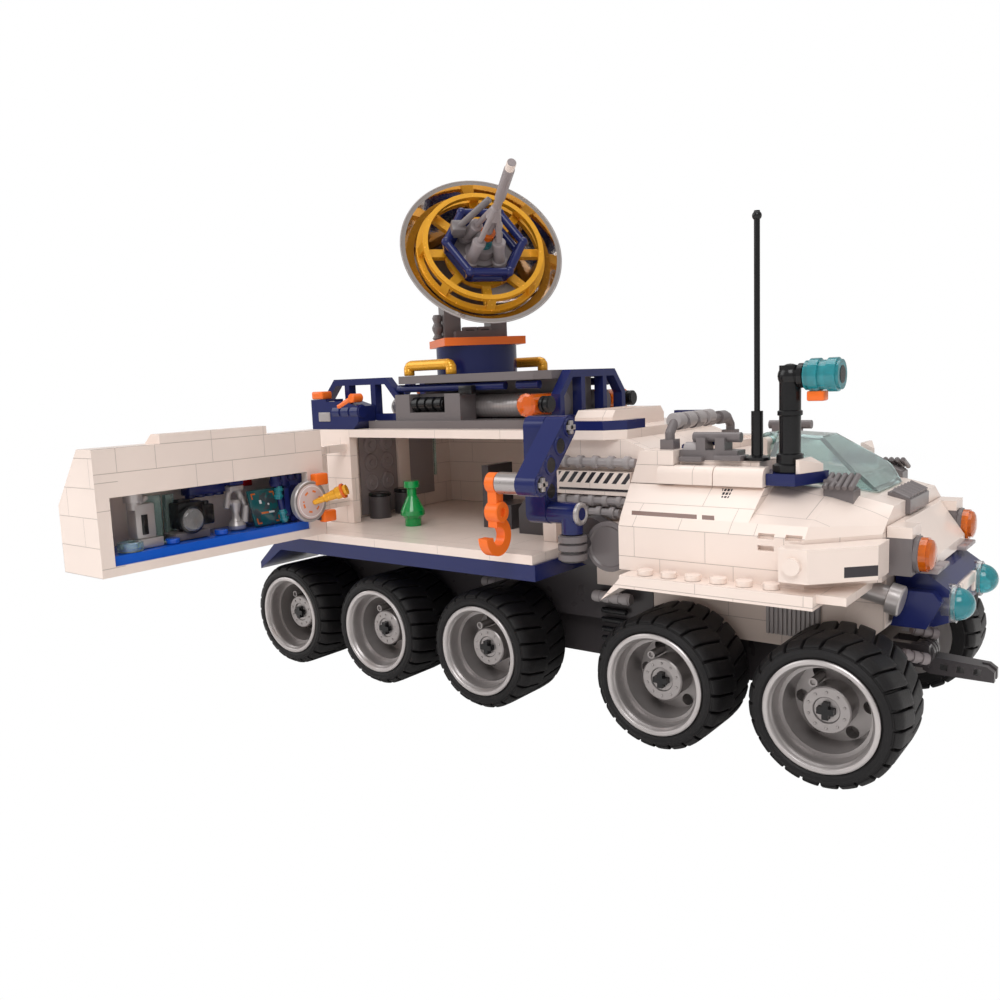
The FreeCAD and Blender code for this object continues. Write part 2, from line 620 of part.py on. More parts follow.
def side_pipes():
    """Ribbed bars above and below the hazard panel on each side of the middle hull."""
    pipes = []
    rib_r = BAR_R + PIPE_RIB
    y = WALL - CABIN_HALF - SEAM - rib_r
    for z, x0, x1, ribs in PIPES:
        bar = prism_x(octagon(y, z, BAR_R), x0, x1)
        gap = (x1 - x0) / ribs
        starts = [x0 + gap * (i + 0.3) for i in range(ribs)]
        rings = [prism_x(octagon(y, z, rib_r), start, start + gap * 0.4) for start in starts]
        pipes.append(fused(bar, *rings))
    return Part.makeCompound([both_sides(pipe) for pipe in pipes + [grille()]])


def grille():
    """Upright ribs on the front belly's side."""
    x0, x1, z0, z1 = GRILLE
    y = -HULL_HALF - SEAM
    back = box(x0, x1, y - GRILLE_BACK, y, z0, z1)
    pitch = (x1 - x0) / GRILLE_RIBS
    ribs = [box(x0 + pitch * (i + 0.2), x0 + pitch * (i + 0.8), y - 2 * GRILLE_BACK, y, z0, z1)
            for i in range(GRILLE_RIBS)]
    return fused(back, *ribs)


def shoulder():
    """Front hull: brick sides, sloping shoulders and a flat deck, with the cockpit cut out."""
    out, top = SHOULDER_HALF, SHOULDER_TOP
    half = [(-out, FENDER_TOP), (-out, top), (PLATE - out, top + PLATE), (-CABIN_HALF, EDGE_Z), (-DECK_IN, EDGE_Z),
            (-DECK_IN, FLAT_Z)]
    section = half + [(-y, z) for y, z in half[::-1]]
    rear = prism_x(section, SLOPE_REAR, HOOD_FRONT)
    lean = prism_z([(SLOPE_REAR - 1, -CABIN_HALF), (SLOPE_REAR, -CABIN_HALF), (SHOULDER_REAR, -out), (SHOULDER_REAR, -out - 1),
                    (SLOPE_REAR - 1, -out - 1)], FENDER_TOP - 1, EDGE_Z + 1)
    rear = rear.cut([lean, mirrored(lean)])
    rear = rear.cut(box(0, MID_END + SEAM, -CABIN_HALF - SEAM, CABIN_HALF + SEAM, 0, ROOF_TOP))
    low = [(-out, FENDER_TOP), (-out, top), (PLATE - out, top + PLATE), (-DECK_FRONT_HALF, DECK_Z - PLATE)]
    low += [(-y, z) for y, z in low[::-1]]
    tip = [(-NOSE_HALF, FENDER_TOP), (-NOSE_HALF, top), (PLATE - NOSE_HALF, top + 2), (-NOSE_DECK_HALF, NOSE_TOP)]
    tip += [(-y, z) for y, z in tip[::-1]]
    middle = [low[0], low[1], low[2], (-NOSE_DECK_HALF, DECK_FRONT_Z)]
    middle += [(-y, z) for y, z in middle[::-1]]
    front = loft_x((HOOD_FRONT, low), (TAPER_START, middle)).fuse(loft_x((TAPER_START, middle), (NOSE_X, tip)))
    hull = fused(rear, front)
    cuts = [box(COCKPIT_REAR, COCKPIT_FRONT, -COCKPIT_HALF, COCKPIT_HALF, COCKPIT_FLOOR, ROOF_TOP)]
    for side in SIDES:
        corners = [(x + (SEAM if x > MAST_X else -SEAM), side * (y + (SEAM if y > -MAST_Y else -SEAM)))
                   for x, y in MAST_PLATE]
        cuts.append(prism_z(corners, MAST_PLATE_BOTTOM, ROOF_TOP))
        for x in SLOT_COLUMNS:
            for z in SLOT_ROWS:
                y = side * (out - SLOT_DEPTH / 2)
                cuts.append(box(x, x + SLOT_W, y - SLOT_DEPTH, y + SLOT_DEPTH, z, z + SLOT_H))
    hinge_x, hinge_z = CANOPY_HINGE
    post = CANOPY_POST / 2
    posts = [box(hinge_x - post, hinge_x + post, side * CANOPY_POST_Y - post, side * CANOPY_POST_Y + post,
                 FLAT_Z - 1, hinge_z) for side in SIDES]
    reach = CANOPY_POST_Y + post
    pin = rod(V(hinge_x, -reach, hinge_z), V(hinge_x, reach, hinge_z), BAR_R)
    return fused(hull.cut(cuts), *posts, pin)


def fenders():
    """Stepped plates over the front wheels, with a row of bare studs."""
    slope = [(FENDER_REAR - 7, FENDER_BOTTOM - 4.8), (FENDER_REAR + 1, FENDER_TOP), (FENDER_REAR + 7, FENDER_TOP),
             (FENDER_REAR + 7, FENDER_BOTTOM), (FENDER_REAR, FENDER_BOTTOM)]
    inner = HULL_HALF + SEAM
    ledge = box(FENDER_REAR, FENDER_FRONT, -BODY_HALF, -inner, FENDER_BOTTOM, FENDER_TOP)
    step = box(FENDER_FRONT, FENDER_FRONT + STUD_PITCH, -BODY_HALF + PLATE, -inner, FENDER_BOTTOM + 1.6, FENDER_TOP)
    row = studs([(STUD_START + STUD_PITCH * i, STUD_ROW_Y) for i in range(FENDER_STUDS)], FENDER_TOP)
    return both_sides(fused(ledge, prism_y(slope, -BODY_HALF, -inner), step, *row))


def nose_half(x):
    """Half width of the front hull where it tapers towards the nose."""
    return SHOULDER_HALF - (SHOULDER_HALF - NOSE_HALF) * max(0, x - TAPER_START) / (NOSE_X - TAPER_START)


def nose_wedges():
    """Long blocks that taper inwards beside the nose, each with one stud on its side."""
    near, far, tip_y = WEDGE_REAR, WEDGE_REAR + WEDGE_LEN, WEDGE_LEN - BODY_HALF
    gap = 2 * SEAM
    outline = [(near, -BODY_HALF), (near + STUD_PITCH, -BODY_HALF), (far, tip_y - STUD_PITCH), (far, -NOSE_HALF - gap),
               (NOSE_X, -NOSE_HALF - gap), (TAPER_START, -SHOULDER_HALF - gap), (near, -SHOULDER_HALF - gap)]
    block = prism_z(outline, FENDER_TOP + PLATE, FENDER_TOP + PLATE + BRICK)
    place = V(near + STUD_PITCH / 2, -BODY_HALF, FENDER_TOP + PLATE + BRICK / 2)
    return both_sides(fused(block, rod(place + V(0, 1, 0), place - V(0, STUD_H, 0), STUD_R)))


def nose():
    """Sloping white front between the lamps."""
    foot = FENDER_TOP + PLATE / 2
    outline = [(NOSE_FACE, foot), (NOSE_FACE, LAMP_BLOCK_TOP + PLATE), (NOSE_FACE + 2, LAMP_BLOCK_TOP + PLATE),
               (NOSE_FACE + BRICK, foot + PLATE), (NOSE_FACE + BRICK, foot)]
    half = LAMP_Y - LAMP_BLOCK_HALF - SEAM
    return prism_y(outline, -half, half)


def lamp_blocks():
    """Grey blocks that hold the nose lamps, and the white caps on them."""
    y0, y1 = -LAMP_Y - LAMP_BLOCK_HALF, -LAMP_Y + LAMP_BLOCK_HALF
    block = box(NOSE_FACE, LAMP_X, y0, y1, FENDER_TOP + PLATE / 2, LAMP_BLOCK_TOP)
    cap = box(NOSE_FACE, LAMP_X, y0, y1, LAMP_BLOCK_TOP, LAMP_BLOCK_TOP + PLATE)
    return both_sides(block), both_sides(cap)


def bumper():
    """Navy bumper with an inclined upper panel, and ends that lean forward."""
    top, front, foot = FENDER_TOP + PLATE / 2 - SEAM, BUMPER_FRONT, BUMPER_BOTTOM
    outline = [(NOSE_FACE, top), (front - 7, top), (front, top - 5), (front, DOME_Z - DOME_R), (front - 4, foot),
               (NOSE_FACE, foot)]
    body = prism_y(outline, -BUMPER_HALF, BUMPER_HALF)
    wing = [(NOSE_FACE, foot + SEAM), (NOSE_FACE + BUMPER_LEAN, top - 5), (front - 3.5, top - 5), (front - 1, top - 8),
            (front - 5, foot + SEAM)]
    wings = prism_y(wing, -BUMPER_HALF - BUMPER_END, -BUMPER_HALF)
    return fused(body, wings, mirrored(wings))


def hood_tiles():
    """Two rounded tiles on each side of the deck."""
    block = box(REAR_END, MID_END + SEAM, -CABIN_HALF - SEAM, 0, 0, ROOF_TOP)
    tiles = []
    for x0, x1 in ((HOOD_REAR, HOOD_JOINT - SEAM / 2), (HOOD_JOINT + SEAM / 2, HOOD_FRONT)):
        tile = box(x0, x1, -HOOD_OUT, -HOOD_IN, EDGE_Z + SEAM, HOOD_TOP)
        edges = [e for e in tile.Edges if e.BoundBox.ZMin > HOOD_TOP - SEAM and e.BoundBox.YMax < SEAM - HOOD_OUT]
        tiles.append(both_sides(tile.makeFillet(HOOD_ROUND, edges).cut(block)))
    return tiles


def write_hull():
    write("mid_hull", mid_hull())
    write("side_pipes", side_pipes())
    write("fenders", fenders())
    write("shoulder", shoulder())
    write("hood_tiles", Part.makeCompound(hood_tiles() + [both_sides(mast_block())]))
    blocks, caps = lamp_blocks()
    write("nose", Part.makeCompound([nose(), caps, nose_wedges()]))
    write("lamp_blocks", blocks)
    write("bumper", bumper())
    lamps = rod(V(LAMP_X, -LAMP_Y, LAMP_Z), V(LAMP_X + LAMP_H, -LAMP_Y, LAMP_Z), LAMP_R)
    y = TANK_Y + TANK_R + SEAM
    roof_lamps = rod(V(ROOF_LAMP_X, -ROOF_LAMP_Y, ROOF_LAMP_Z), V(ROOF_LAMP_X, -y, ROOF_LAMP_Z), LAMP_R - 1)
    write("orange_lamps", Part.makeCompound([both_sides(lamps), both_sides(roof_lamps)]))
    seat = BUMPER_FRONT + SEAM
    dome = Part.makeSphere(DOME_R, V(seat + 1, -DOME_Y, DOME_Z))
    reach = 2 * DOME_R
    keep = box(seat, seat + reach, -DOME_Y - reach, -DOME_Y + reach, DOME_Z - reach, DOME_Z + reach)
    domes = both_sides(dome.common(keep))
    searchlight = rod(V(MAST_X + SEARCH_REACH, MAST_Y, MAST_TOP), V(MAST_X + SEARCH_REACH + SEARCH_LEN, MAST_Y, MAST_TOP),
                      SEARCH_R)
    write("blue_lights", Part.makeCompound([domes, searchlight]))


# ---------------------------------------------------------------- canopy
def canopy_form(inset):
    """Faceted bubble: what the side outline, the cross-section and the plan have in common."""
    low, rear, tip, half = CANOPY_SILL - 12, CANOPY_REAR + inset, CANOPY_TIP - inset, CANOPY_HALF - inset
    top = CANOPY_TOP - inset
    side = [(rear, low), (rear, top - 1), (CANOPY_KNEE - inset * 0.3, top - 2), (CANOPY_BROW - inset, EDGE_Z + 2 - inset * 0.4),
            (tip, CANOPY_SILL - 5), (tip, low)]
    cross = [(-half, low), (-half, CANOPY_SILL - 2), (-CANOPY_FLAT, CANOPY_TOP - inset * 0.6)]
    cross += [(-y, z) for y, z in cross[::-1]]
    plan = [(rear - 2, -half), (CANOPY_SIDE_END, -half), (tip + 1, -half / 2), (tip + 1, half / 2), (CANOPY_SIDE_END, half),
            (rear - 2, half)]
    wide = 2 * CANOPY_HALF
    form = prism_y(side, -wide, wide).common(prism_x(cross, 0, tip + 9)).common(prism_z(plan, low, CANOPY_TOP + 9))
    return form.cut(canopy_seat(wide))


def canopy_seat(wide):
    """What lies below the canopy's edge, just above the deck and its slope."""
    over = 0.6
    outline = [(COCKPIT_REAR - 9, DECK_Z - PLATE + 2 * over), (HOOD_FRONT, DECK_Z - PLATE + 2 * over),
               (TAPER_START, DECK_FRONT_Z + over), (NOSE_X, NOSE_TOP + over), (NOSE_X + 9, NOSE_TOP + over),
               (NOSE_X + 9, CANOPY_SILL - 30), (COCKPIT_REAR - 9, CANOPY_SILL - 30)]
    return prism_y(outline, -wide, wide)


def write_canopy():
    shell = canopy_form(0).cut(canopy_form(CANOPY_WALL))
    x, z = CANOPY_HINGE
    lug = CANOPY_LUG / 2
    lugs = []
    for side in SIDES:
        y = side * CANOPY_LUG_Y
        lugs.append(box(x, CANOPY_REAR + CANOPY_WALL / 2, y - lug, y + lug, z - 1.3, z + 1.3))
        lugs.append(rod(V(x, y - lug, z), V(x, y + lug, z), 2 * BAR_R - RUNNING))
    bore = rod(V(x, -CANOPY_POST_Y, z), V(x, CANOPY_POST_Y, z), BAR_R + RUNNING)
    write("canopy", fused(shell, *lugs).cut(bore))


# ---------------------------------------------------------------- roof works
def roof_base():
    """Grey base with the block and the columns that carry the deck."""
    slab = box(BASE_REAR, BASE_FRONT, -BASE_HALF, BASE_HALF, ROOF_TOP, BASE_TOP)
    core = box(DECK_REAR + PLATE, DECK_FRONT - PLATE, -CORE_HALF, CORE_HALF, BASE_TOP, DECK_BOTTOM)
    inner = TANK_Y + TANK_R + SEAM
    parts = [slab, core]
    for x in COLUMN_X:
        parts.append(box(x, x + COLUMN_LEN, -COLUMN_OUT, -inner, BASE_TOP, COLUMN_TOP))
    parts.append(box(COLUMN_X[0], COLUMN_X[1], -COLUMN_OUT, -inner, BASE_TOP, BASE_TOP + PLATE))
    parts.append(box(COLUMN_X[0] + COLUMN_LEN, COLUMN_X[1], -inner - PLATE, -CORE_HALF, BASE_TOP, COLUMN_TOP))
    return fused(*parts, *[mirrored(piece) for piece in parts[2:]])


def deck():
    rear, front, half, cut = DECK_REAR, DECK_FRONT, DECK_HALF, DECK_CORNER
    outline = [(rear, cut - half), (rear + cut, -half), (front - cut, -half), (front, cut - half), (front, half - cut),
               (front - cut, half), (rear + cut, half), (rear, half - cut)]
    return prism_z(outline, DECK_BOTTOM, DECK_TOP)


def tanks():
    """Silver tanks along the base: a long one in front of the columns and a short one behind them."""
    y, z = -TANK_Y, BASE_TOP + SEAM + TANK_R
    front = COLUMN_X[1] + COLUMN_LEN - PLATE
    long = rod(V(front, y, z), V(FRONT_RAIL_X - SEAM, y, z), TANK_R)
    nose_x = COLUMN_X[0] - SEAM
    short = rod(V(nose_x, y, z), V(nose_x - 10, y, z), TANK_R)
    dome = Part.makeSphere(TANK_R, V(nose_x - 10, y, z))
    return Part.makeCompound([both_sides(long), both_sides(fused(short, dome))])


def deck_pipes():
    """Navy pipes that hang under the deck's edges."""
    z = DECK_BOTTOM - SEAM - TANK_BAR_R
    y = -DECK_HALF + 2 * TANK_BAR_R
    pipes = [rod(V(x0, y, z), V(x1, y, z), TANK_BAR_R) for x0, x1 in DECK_PIPES]
    return [both_sides(pipe) for pipe in pipes]


def handle(x, y):
    """Gold grab handle standing on the deck."""
    foot, top, half = DECK_TOP, DECK_TOP + HANDLE_H, HANDLE_HALF
    legs = [rod(V(x + s * half, y, foot), V(x + s * half, y, top), HANDLE_R) for s in SIDES]
    bar = rod(V(x - half, y, top), V(x + half, y, top), HANDLE_R)
    corners = [Part.makeSphere(HANDLE_R, V(x + s * half, y, top)) for s in SIDES]
    return fused(bar, *legs, *corners)


def rail(foot, pins):
    """Navy roof rail about x = 0 in the X-Z plane: bars between a top edge with slanting corners."""
    half, flat, bar = RAIL_LEN / 2, RAIL_FLAT / 2, RAIL_BAR
    shoulder_z, top = ROOF_TOP + RAIL_EDGE_Z, ROOF_TOP + RAIL_TOP_Z
    outline = [(-half, foot), (half, foot), (half, shoulder_z), (flat, top), (-flat, top), (-half, shoulder_z)]
    upright, low, high = RAIL_FLAT / 4, foot + bar, top - bar
    side = [(upright + bar / 2, low), (half - bar, low), (half - bar, shoulder_z - bar / 3), (flat - bar / 3, high),
            (upright + bar / 2, high)]
    middle = [(bar / 2 - upright, low), (upright - bar / 2, low), (upright - bar / 2, high), (bar / 2 - upright, high)]
    gaps = [prism_y(points, -1, RAIL_THICK + 1) for points in (side, [(-x, z) for x, z in side], middle)]
    frame = prism_y(outline, 0, RAIL_THICK).cut(gaps)
    posts = [Part.makeCylinder(1, foot - ROOF_TOP + 1, V(x, RAIL_THICK / 2, ROOF_TOP), Z) for x in pins]
    return fused(frame, *posts)


def rear_units():
    """Navy blocks on the roof's rear corners."""
    step = UNIT_TOP - BRICK
    outline = [(UNIT_REAR, ROOF_TOP), (UNIT_REAR, UNIT_TOP), (UNIT_REAR + BRICK, UNIT_TOP), (UNIT_REAR + BRICK, UNIT_TOP - 1),
               (UNIT_FRONT - STUD_PITCH, UNIT_TOP - 1), (UNIT_FRONT, UNIT_TOP - PLATE), (UNIT_FRONT, step),
               (UNIT_FRONT - PLATE, ROOF_TOP)]
    return both_sides(prism_y(outline, -UNIT_OUT, -UNIT_IN))


def write_roof_works():
    write("roof_base", roof_base())
    write("deck", deck())
    write("tanks", tanks())
    write("handles", Part.makeCompound([handle(x, y) for x, y in HANDLES]))
    pin = RAIL_FLAT / 2
    front = rail(ROOF_TOP + RAIL_FOOT, (-pin, 0, pin))
    front.rotate(V(0, 0, 0), Z, 90)
    side_rail = rail(BASE_TOP, (-pin, 0)).translated(V(REAR_RAIL_X, -REAR_RAIL_Y - RAIL_THICK, 0))
    write("rails", Part.makeCompound([front.translated(V(FRONT_RAIL_X + RAIL_THICK, 0, 0)), both_sides(side_rail)]))
    write("rear_units", Part.makeCompound([rear_units(), edge_strips()] + deck_pipes()))


def edge_strips():
    """Navy strips along the roof plate's front corners."""
    half, cut, inner = CABIN_HALF, ROOF_CORNER, STRIP_IN
    outline = [(ROOF_END - STRIP_LEN, -half), (ROOF_END - cut, -half), (ROOF_END, cut - half), (ROOF_END, -inner),
               (ROOF_END - PLATE, -inner), (ROOF_END - PLATE, cut - half), (ROOF_END - cut, PLATE - half),
               (ROOF_END - STRIP_LEN, PLATE - half)]
    return both_sides(prism_z(outline, ROOF_TOP, ROOF_TOP + PLATE))


# ---------------------------------------------------------------- dish
def dish_place(shape):
    """Turn a piece made along +X, with its pivot at zero, to the dish's heading and tilt."""
    shape = shape.copy()
    shape.rotate(V(0, 0, 0), Y, -DISH_TILT)
    shape.rotate(V(0, 0, 0), Z, DISH_HEADING)
    shape.translate(DISH_PIVOT)
    return shape


def reflector():
    """Spun dish of even wall, with a flat seat for the feed in the middle."""
    sphere_r = (DISH_R ** 2 + DISH_DEPTH ** 2) / (2 * DISH_DEPTH)
    middle = RIM_AT - DISH_DEPTH + sphere_r

    def edges(radius):
        seat = math.radians(180) - math.asin(FEED_SEAT / radius)
        rim = math.pi - math.acos((middle - RIM_AT) / radius)
        points = [V(middle + radius * math.cos(turn), 0, radius * math.sin(turn))
                  for turn in (seat, (seat + rim) / 2, rim)]
        return points

    outer, inner = edges(sphere_r), edges(sphere_r - DISH_WALL)
    flat_out, flat_in = V(outer[0].x, 0, 0), V(inner[0].x, 0, 0)
    wire = Part.Wire([Part.makeLine(flat_out, outer[0]), Part.Arc(*outer).toShape(), Part.makeLine(outer[2], inner[2]),
                      Part.Arc(*inner[::-1]).toShape(), Part.makeLine(inner[0], flat_in),
                      Part.makeLine(flat_in, flat_out)])
    return Part.Face(wire).revolve(V(0, 0, 0), X, 360)


def dish_flat(wall):
    """Where the dish's flat middle lies: its back for no wall, its floor for the full wall."""
    sphere_r = (DISH_R ** 2 + DISH_DEPTH ** 2) / (2 * DISH_DEPTH)
    return RIM_AT - DISH_DEPTH + sphere_r - math.sqrt((sphere_r - wall) ** 2 - FEED_SEAT ** 2)


def ring(radius, wall, at, depth):
    outer = Part.makeCylinder(radius, depth, V(at, 0, 0), X)
    return outer.cut(Part.makeCylinder(radius - wall, depth + 2, V(at - 1, 0, 0), X))


def spoked_frame():
    """Gold basket: two rings, an inner hoop and eight slanting spokes."""
    back = RIM_AT - RING_SINK
    pieces = [ring(RING_R, 2.4, back, 2.4), ring(24.5, 2, RIM_AT + 1.5, 2), ring(15, 2, back, 2.4)]
    for i in range(8):
        spoke = box(back, back + 2.4, -1.8, 1.8, 14, RING_R - 1)
        leg = prism_y([(back + 1, RING_R - 2), (back + 1, RING_R), (RIM_AT + 3, 24.4), (RIM_AT + 3, 22.6)], -1.8, 1.8)
        for piece in (spoke, leg):
            piece.rotate(V(0, 0, 0), X, 45 * i)
            pieces.append(piece)
    return fused(*pieces)


def feed():
    """Navy frame of two six-sided hoops of rods, and the grey hub with the needle and its struts."""
    foot, back = dish_flat(DISH_WALL), RIM_AT - RING_SINK + RING_T + SEAM
    hub = fused(rod(V(foot, 0, 0), V(back + 2 * PLATE, 0, 0), HUB_STEM_R), rod(V(back - PLATE, 0, 0), V(back, 0, 0), HUB_PLATE_R),
                rod(V(back, 0, 0), V(RIM_AT + NEEDLE_REACH, 0, 0), BAR_R), *feed_struts(back))
    hoops = []
    levels = ((back + FRAME_OUT, FRAME_R), (back + BAR_R, FRAME_R - FRAME_LEAN))
    for i in range(6):
        turn, before = (V(0, math.cos(math.radians(60 * j)), math.sin(math.radians(60 * j))) for j in (i, i - 1))
        corners = [V(at_x, 0, 0) + turn * radius for at_x, radius in levels]
        hoops += [rod(V(at_x, 0, 0) + before * radius, corner, BAR_R) for (at_x, radius), corner in zip(levels, corners)]
        hoops += [rod(*corners, BAR_R), Part.makeSphere(FRAME_JOINT_R, corners[0])]
    return fused(*hoops).cut(hub), hub


def feed_struts(back):
    """Struts from the hub's plate that meet on the needle, each with a thick sleeve at its foot."""
    struts = []
    for i in range(STRUTS):
        turn = math.radians(STRUT_TURN + 360 / STRUTS * i)
        out = V(0, math.cos(turn), math.sin(turn))
        foot, tip = V(back - 1, 0, 0) + out * STRUT_OUT, V(RIM_AT + STRUT_REACH, 0, 0)
        along = (tip - foot).normalize()
        struts.append(rod(foot, foot + along * STRUT_SLEEVE, STRUT_R))
        struts.append(rod(foot, tip, BAR_R * 0.7))
    return struts


def write_dish():
    write("turret_drum", Part.makeCylinder(DRUM_R, DRUM_H, V(TURRET_X, 0, DECK_TOP), Z))
    top = DECK_TOP + DRUM_H
    plate = box(-17, 17, -17, 17, top, top + PLATE)
    plate.rotate(V(0, 0, 0), Z, DISH_HEADING)
    write("turret_plate", plate.translated(V(TURRET_X, 0, 0)))
    middle = FORK_GAP + FORK_CHEEK / 2
    fork = [box(-6 - DISH_SETBACK, 6 - DISH_SETBACK, s * middle - FORK_CHEEK / 2, s * middle + FORK_CHEEK / 2, top + PLATE, DISH_PIVOT_Z + 4)
            for s in SIDES]
    fork = fused(*fork, box(-6 - DISH_SETBACK, 6, -middle, middle, top + PLATE, top + 2 * PLATE))
    fork = fork.cut(rod(V(-DISH_SETBACK, -30, DISH_PIVOT_Z), V(-DISH_SETBACK, 30, DISH_PIVOT_Z), TRUNNION_R + RUNNING))
    fork.rotate(V(0, 0, 0), Z, DISH_HEADING)
    write("turret_fork", fork.translated(V(TURRET_X, 0, 0)))
    write("reflector", dish_place(reflector()))
    neck = rod(V(-3, 0, 0), V(dish_flat(0), 0, 0), 4)
    barrel = rod(V(0, -FORK_GAP + SEAM, 0), V(0, FORK_GAP - SEAM, 0), 4)
    trunnion = rod(V(0, -middle - 2, 0), V(0, middle + 2, 0), TRUNNION_R)
    frame, hub = feed()
    write("dish_neck", dish_place(Part.makeCompound([fused(neck, barrel, trunnion), hub])))
    write("spoked_frame", dish_place(spoked_frame()))
    write("feed_frame", dish_place(frame))


# ---------------------------------------------------------------- crane arm
def beam_between(start, end, x0):
    """Round-ended beam in a plane across X, from one hole centre to the other."""
    span = end - start
    side = V(0, -span.z, span.y).normalize() * (BEAM / 2)
    corners = [start + side, end + side, end - side, start - side]
    flat = prism_x([(c.y, c.z) for c in corners], x0, x0 + BEAM)
    ends = [Part.makeCylinder(BEAM / 2, BEAM, V(x0, p.y, p.z), X) for p in (start, end)]
    return fused(flat, *ends)


def write_arm():
    low = V(0, ARM_Y, ARM_PIVOT_Z)
    high = V(0, ARM_Y, ARM_PIVOT_Z + ARM_UPRIGHT)
    turn = math.radians(ARM_DROOP)
    tip = high + V(0, -ARM_BOOM * math.cos(turn), -ARM_BOOM * math.sin(turn))
    x0 = ARM_X - 2 * BEAM - SEAM
    disc = rod(V(ARM_X, -CABIN_HALF - SEAM, 62), V(ARM_X, -CABIN_HALF - 6, 62), ARM_DISC_R)
    socket = rod(V(ARM_X, ARM_Y, 57), V(ARM_X, ARM_Y, 66), 4)
    arm_link = rod(V(ARM_X, -CABIN_HALF - 5, 62), V(ARM_X, ARM_Y, 62), 2.4)
    post = rod(V(ARM_X, ARM_Y, 65), V(ARM_X, ARM_Y, ARM_PIVOT_Z - 4), 2)
    write("arm_base", fused(disc, socket, arm_link, post))
    neck = rod(V(ARM_X, ARM_Y, 66 + SEAM), V(ARM_X, ARM_Y, ARM_PIVOT_Z), 3.6)
    neck = neck.cut(rod(V(ARM_X, ARM_Y, 64), V(ARM_X, ARM_Y, ARM_PIVOT_Z - 3.9), 2 + RUNNING))
    tube = rod(V(x0 + BEAM - 1, ARM_Y, ARM_PIVOT_Z), V(ARM_X + 4, ARM_Y, ARM_PIVOT_Z), 3.7)
    tube = tube.cut(rod(V(ARM_X, ARM_Y, 64), V(ARM_X, ARM_Y, ARM_PIVOT_Z - 3.9), 2 + RUNNING))
    upright = beam_between(low, high, x0)
    top_pin = rod(V(x0 + BEAM - 1, high.y, high.z), V(x0 + 2 * BEAM + SEAM, high.y, high.z), 2.4)
    write("arm_upright", fused(neck, tube, upright, top_pin))
    boom = beam_between(high, tip, x0 + BEAM + SEAM)
    write("arm_boom", boom.cut(rod(V(x0, high.y, high.z), V(x0 + 3 * BEAM, high.y, high.z), 2.4 + RUNNING)))
    hook_x = x0 - 4.4
    pin = rod(V(x0 + BEAM + SEAM, tip.y, tip.z), V(x0 - SEAM, tip.y, tip.z), 3.6)
    stub = rod(V(x0, tip.y, tip.z), V(hook_x - 0.8, tip.y, tip.z), BAR_R)
    write("arm_pin", fused(pin, stub))
    write("arm_hook", hook(hook_x, tip))


def hook(x0, tip):
    """Flat crane hook that hangs from its eye, open to the outside."""
    thick = 3.6
    middle = V(x0, tip.y - 1, tip.z - HOOK_DROP + HOOK_WIDTH / 2)
    eye = rod(V(x0, tip.y, tip.z), V(x0 + thick, tip.y, tip.z), 3.4)
    shank = box(x0, x0 + thick, tip.y - 1.8, tip.y + 1.8, middle.z + 4, tip.z)
    bowl = rod(middle, middle + V(thick, 0, 0), HOOK_WIDTH / 2)
    bowl = bowl.cut([rod(middle - V(1, 0, 0), middle + V(thick + 1, 0, 0), HOOK_WIDTH / 2 - 3.4),
                     box(x0 - 1, x0 + thick + 1, middle.y - HOOK_WIDTH, middle.y - 1, middle.z, middle.z + HOOK_WIDTH)])
    bore = rod(V(x0 - 1, tip.y, tip.z), V(x0 + thick + 1, tip.y, tip.z), BAR_R + RUNNING)
    return fused(eye, shank, bowl).cut(bore)


# ---------------------------------------------------------------- cockpit, masts and front claw
def write_fittings():
    write("lab_fittings", Part.makeCompound(cockpit_fittings() + lab_fittings()))
    foot = MAST_PLATE_TOP
    base = rod(V(WHIP_X, MAST_Y, FLAT_Z), V(WHIP_X, MAST_Y, WHIP_FOOT), WHIP_BASE_R)
    whip = rod(V(WHIP_X, MAST_Y, WHIP_FOOT - 1), V(WHIP_X, MAST_Y, WHIP_TOP), WHIP_R)
    mast = rod(V(MAST_X, MAST_Y, foot), V(MAST_X, MAST_Y, MAST_TOP + MAST_R), MAST_R)
    elbow = rod(V(MAST_X, MAST_Y, MAST_TOP), V(MAST_X + SEARCH_REACH, MAST_Y, MAST_TOP), MAST_R - SEAM)
    write("masts", Part.makeCompound([fused(base, whip), fused(mast, elbow)]))
    write("mast_plate", mast_plate())
    write("deck_fittings", deck_fittings())
    write("claw", claw())


def cockpit_fittings():
    """Seat and console under the canopy."""
    floor, half = COCKPIT_FLOOR, STUD_PITCH
    seat = fused(box(COCKPIT_REAR + 1, COCKPIT_REAR + 15, -half, half, floor, floor + 6),
                 box(COCKPIT_REAR + SEAM, COCKPIT_REAR + 4, -half, half, floor, floor + 18))
    rear, front = COCKPIT_FRONT - 7, COCKPIT_FRONT - SEAM
    outline = [(rear, floor), (rear, floor + 8), (rear + 4, floor + 12), (front, floor + 12), (front, floor)]
    return [seat, prism_y(outline, -half - 4, half + 4)]


def lab_fittings():
    """Stools, a chair and a console inside the cabin."""
    floor = LEDGE_TOP
    stools = [rod(V(x, y, floor), V(x, y, floor + BRICK), 2 * STUD_R) for x, y in ((CABIN_REAR + 8, -22), (CABIN_REAR + 8, -6))]
    chair = fused(box(CHAIR_X, CHAIR_X + 14, -24, -8, floor, floor + BRICK),
                  box(CHAIR_X, CHAIR_X + PLATE, -24, -8, floor, floor + 2.6 * BRICK))
    rear, front = CABIN_FRONT - 18, CABIN_FRONT - SEAM
    outline = [(rear, floor), (rear, floor + BRICK), (rear + 8, floor + 2 * BRICK), (front, floor + 2 * BRICK), (front, floor)]
    console = prism_y(outline, -30, 10)
    return stools + [chair, console]


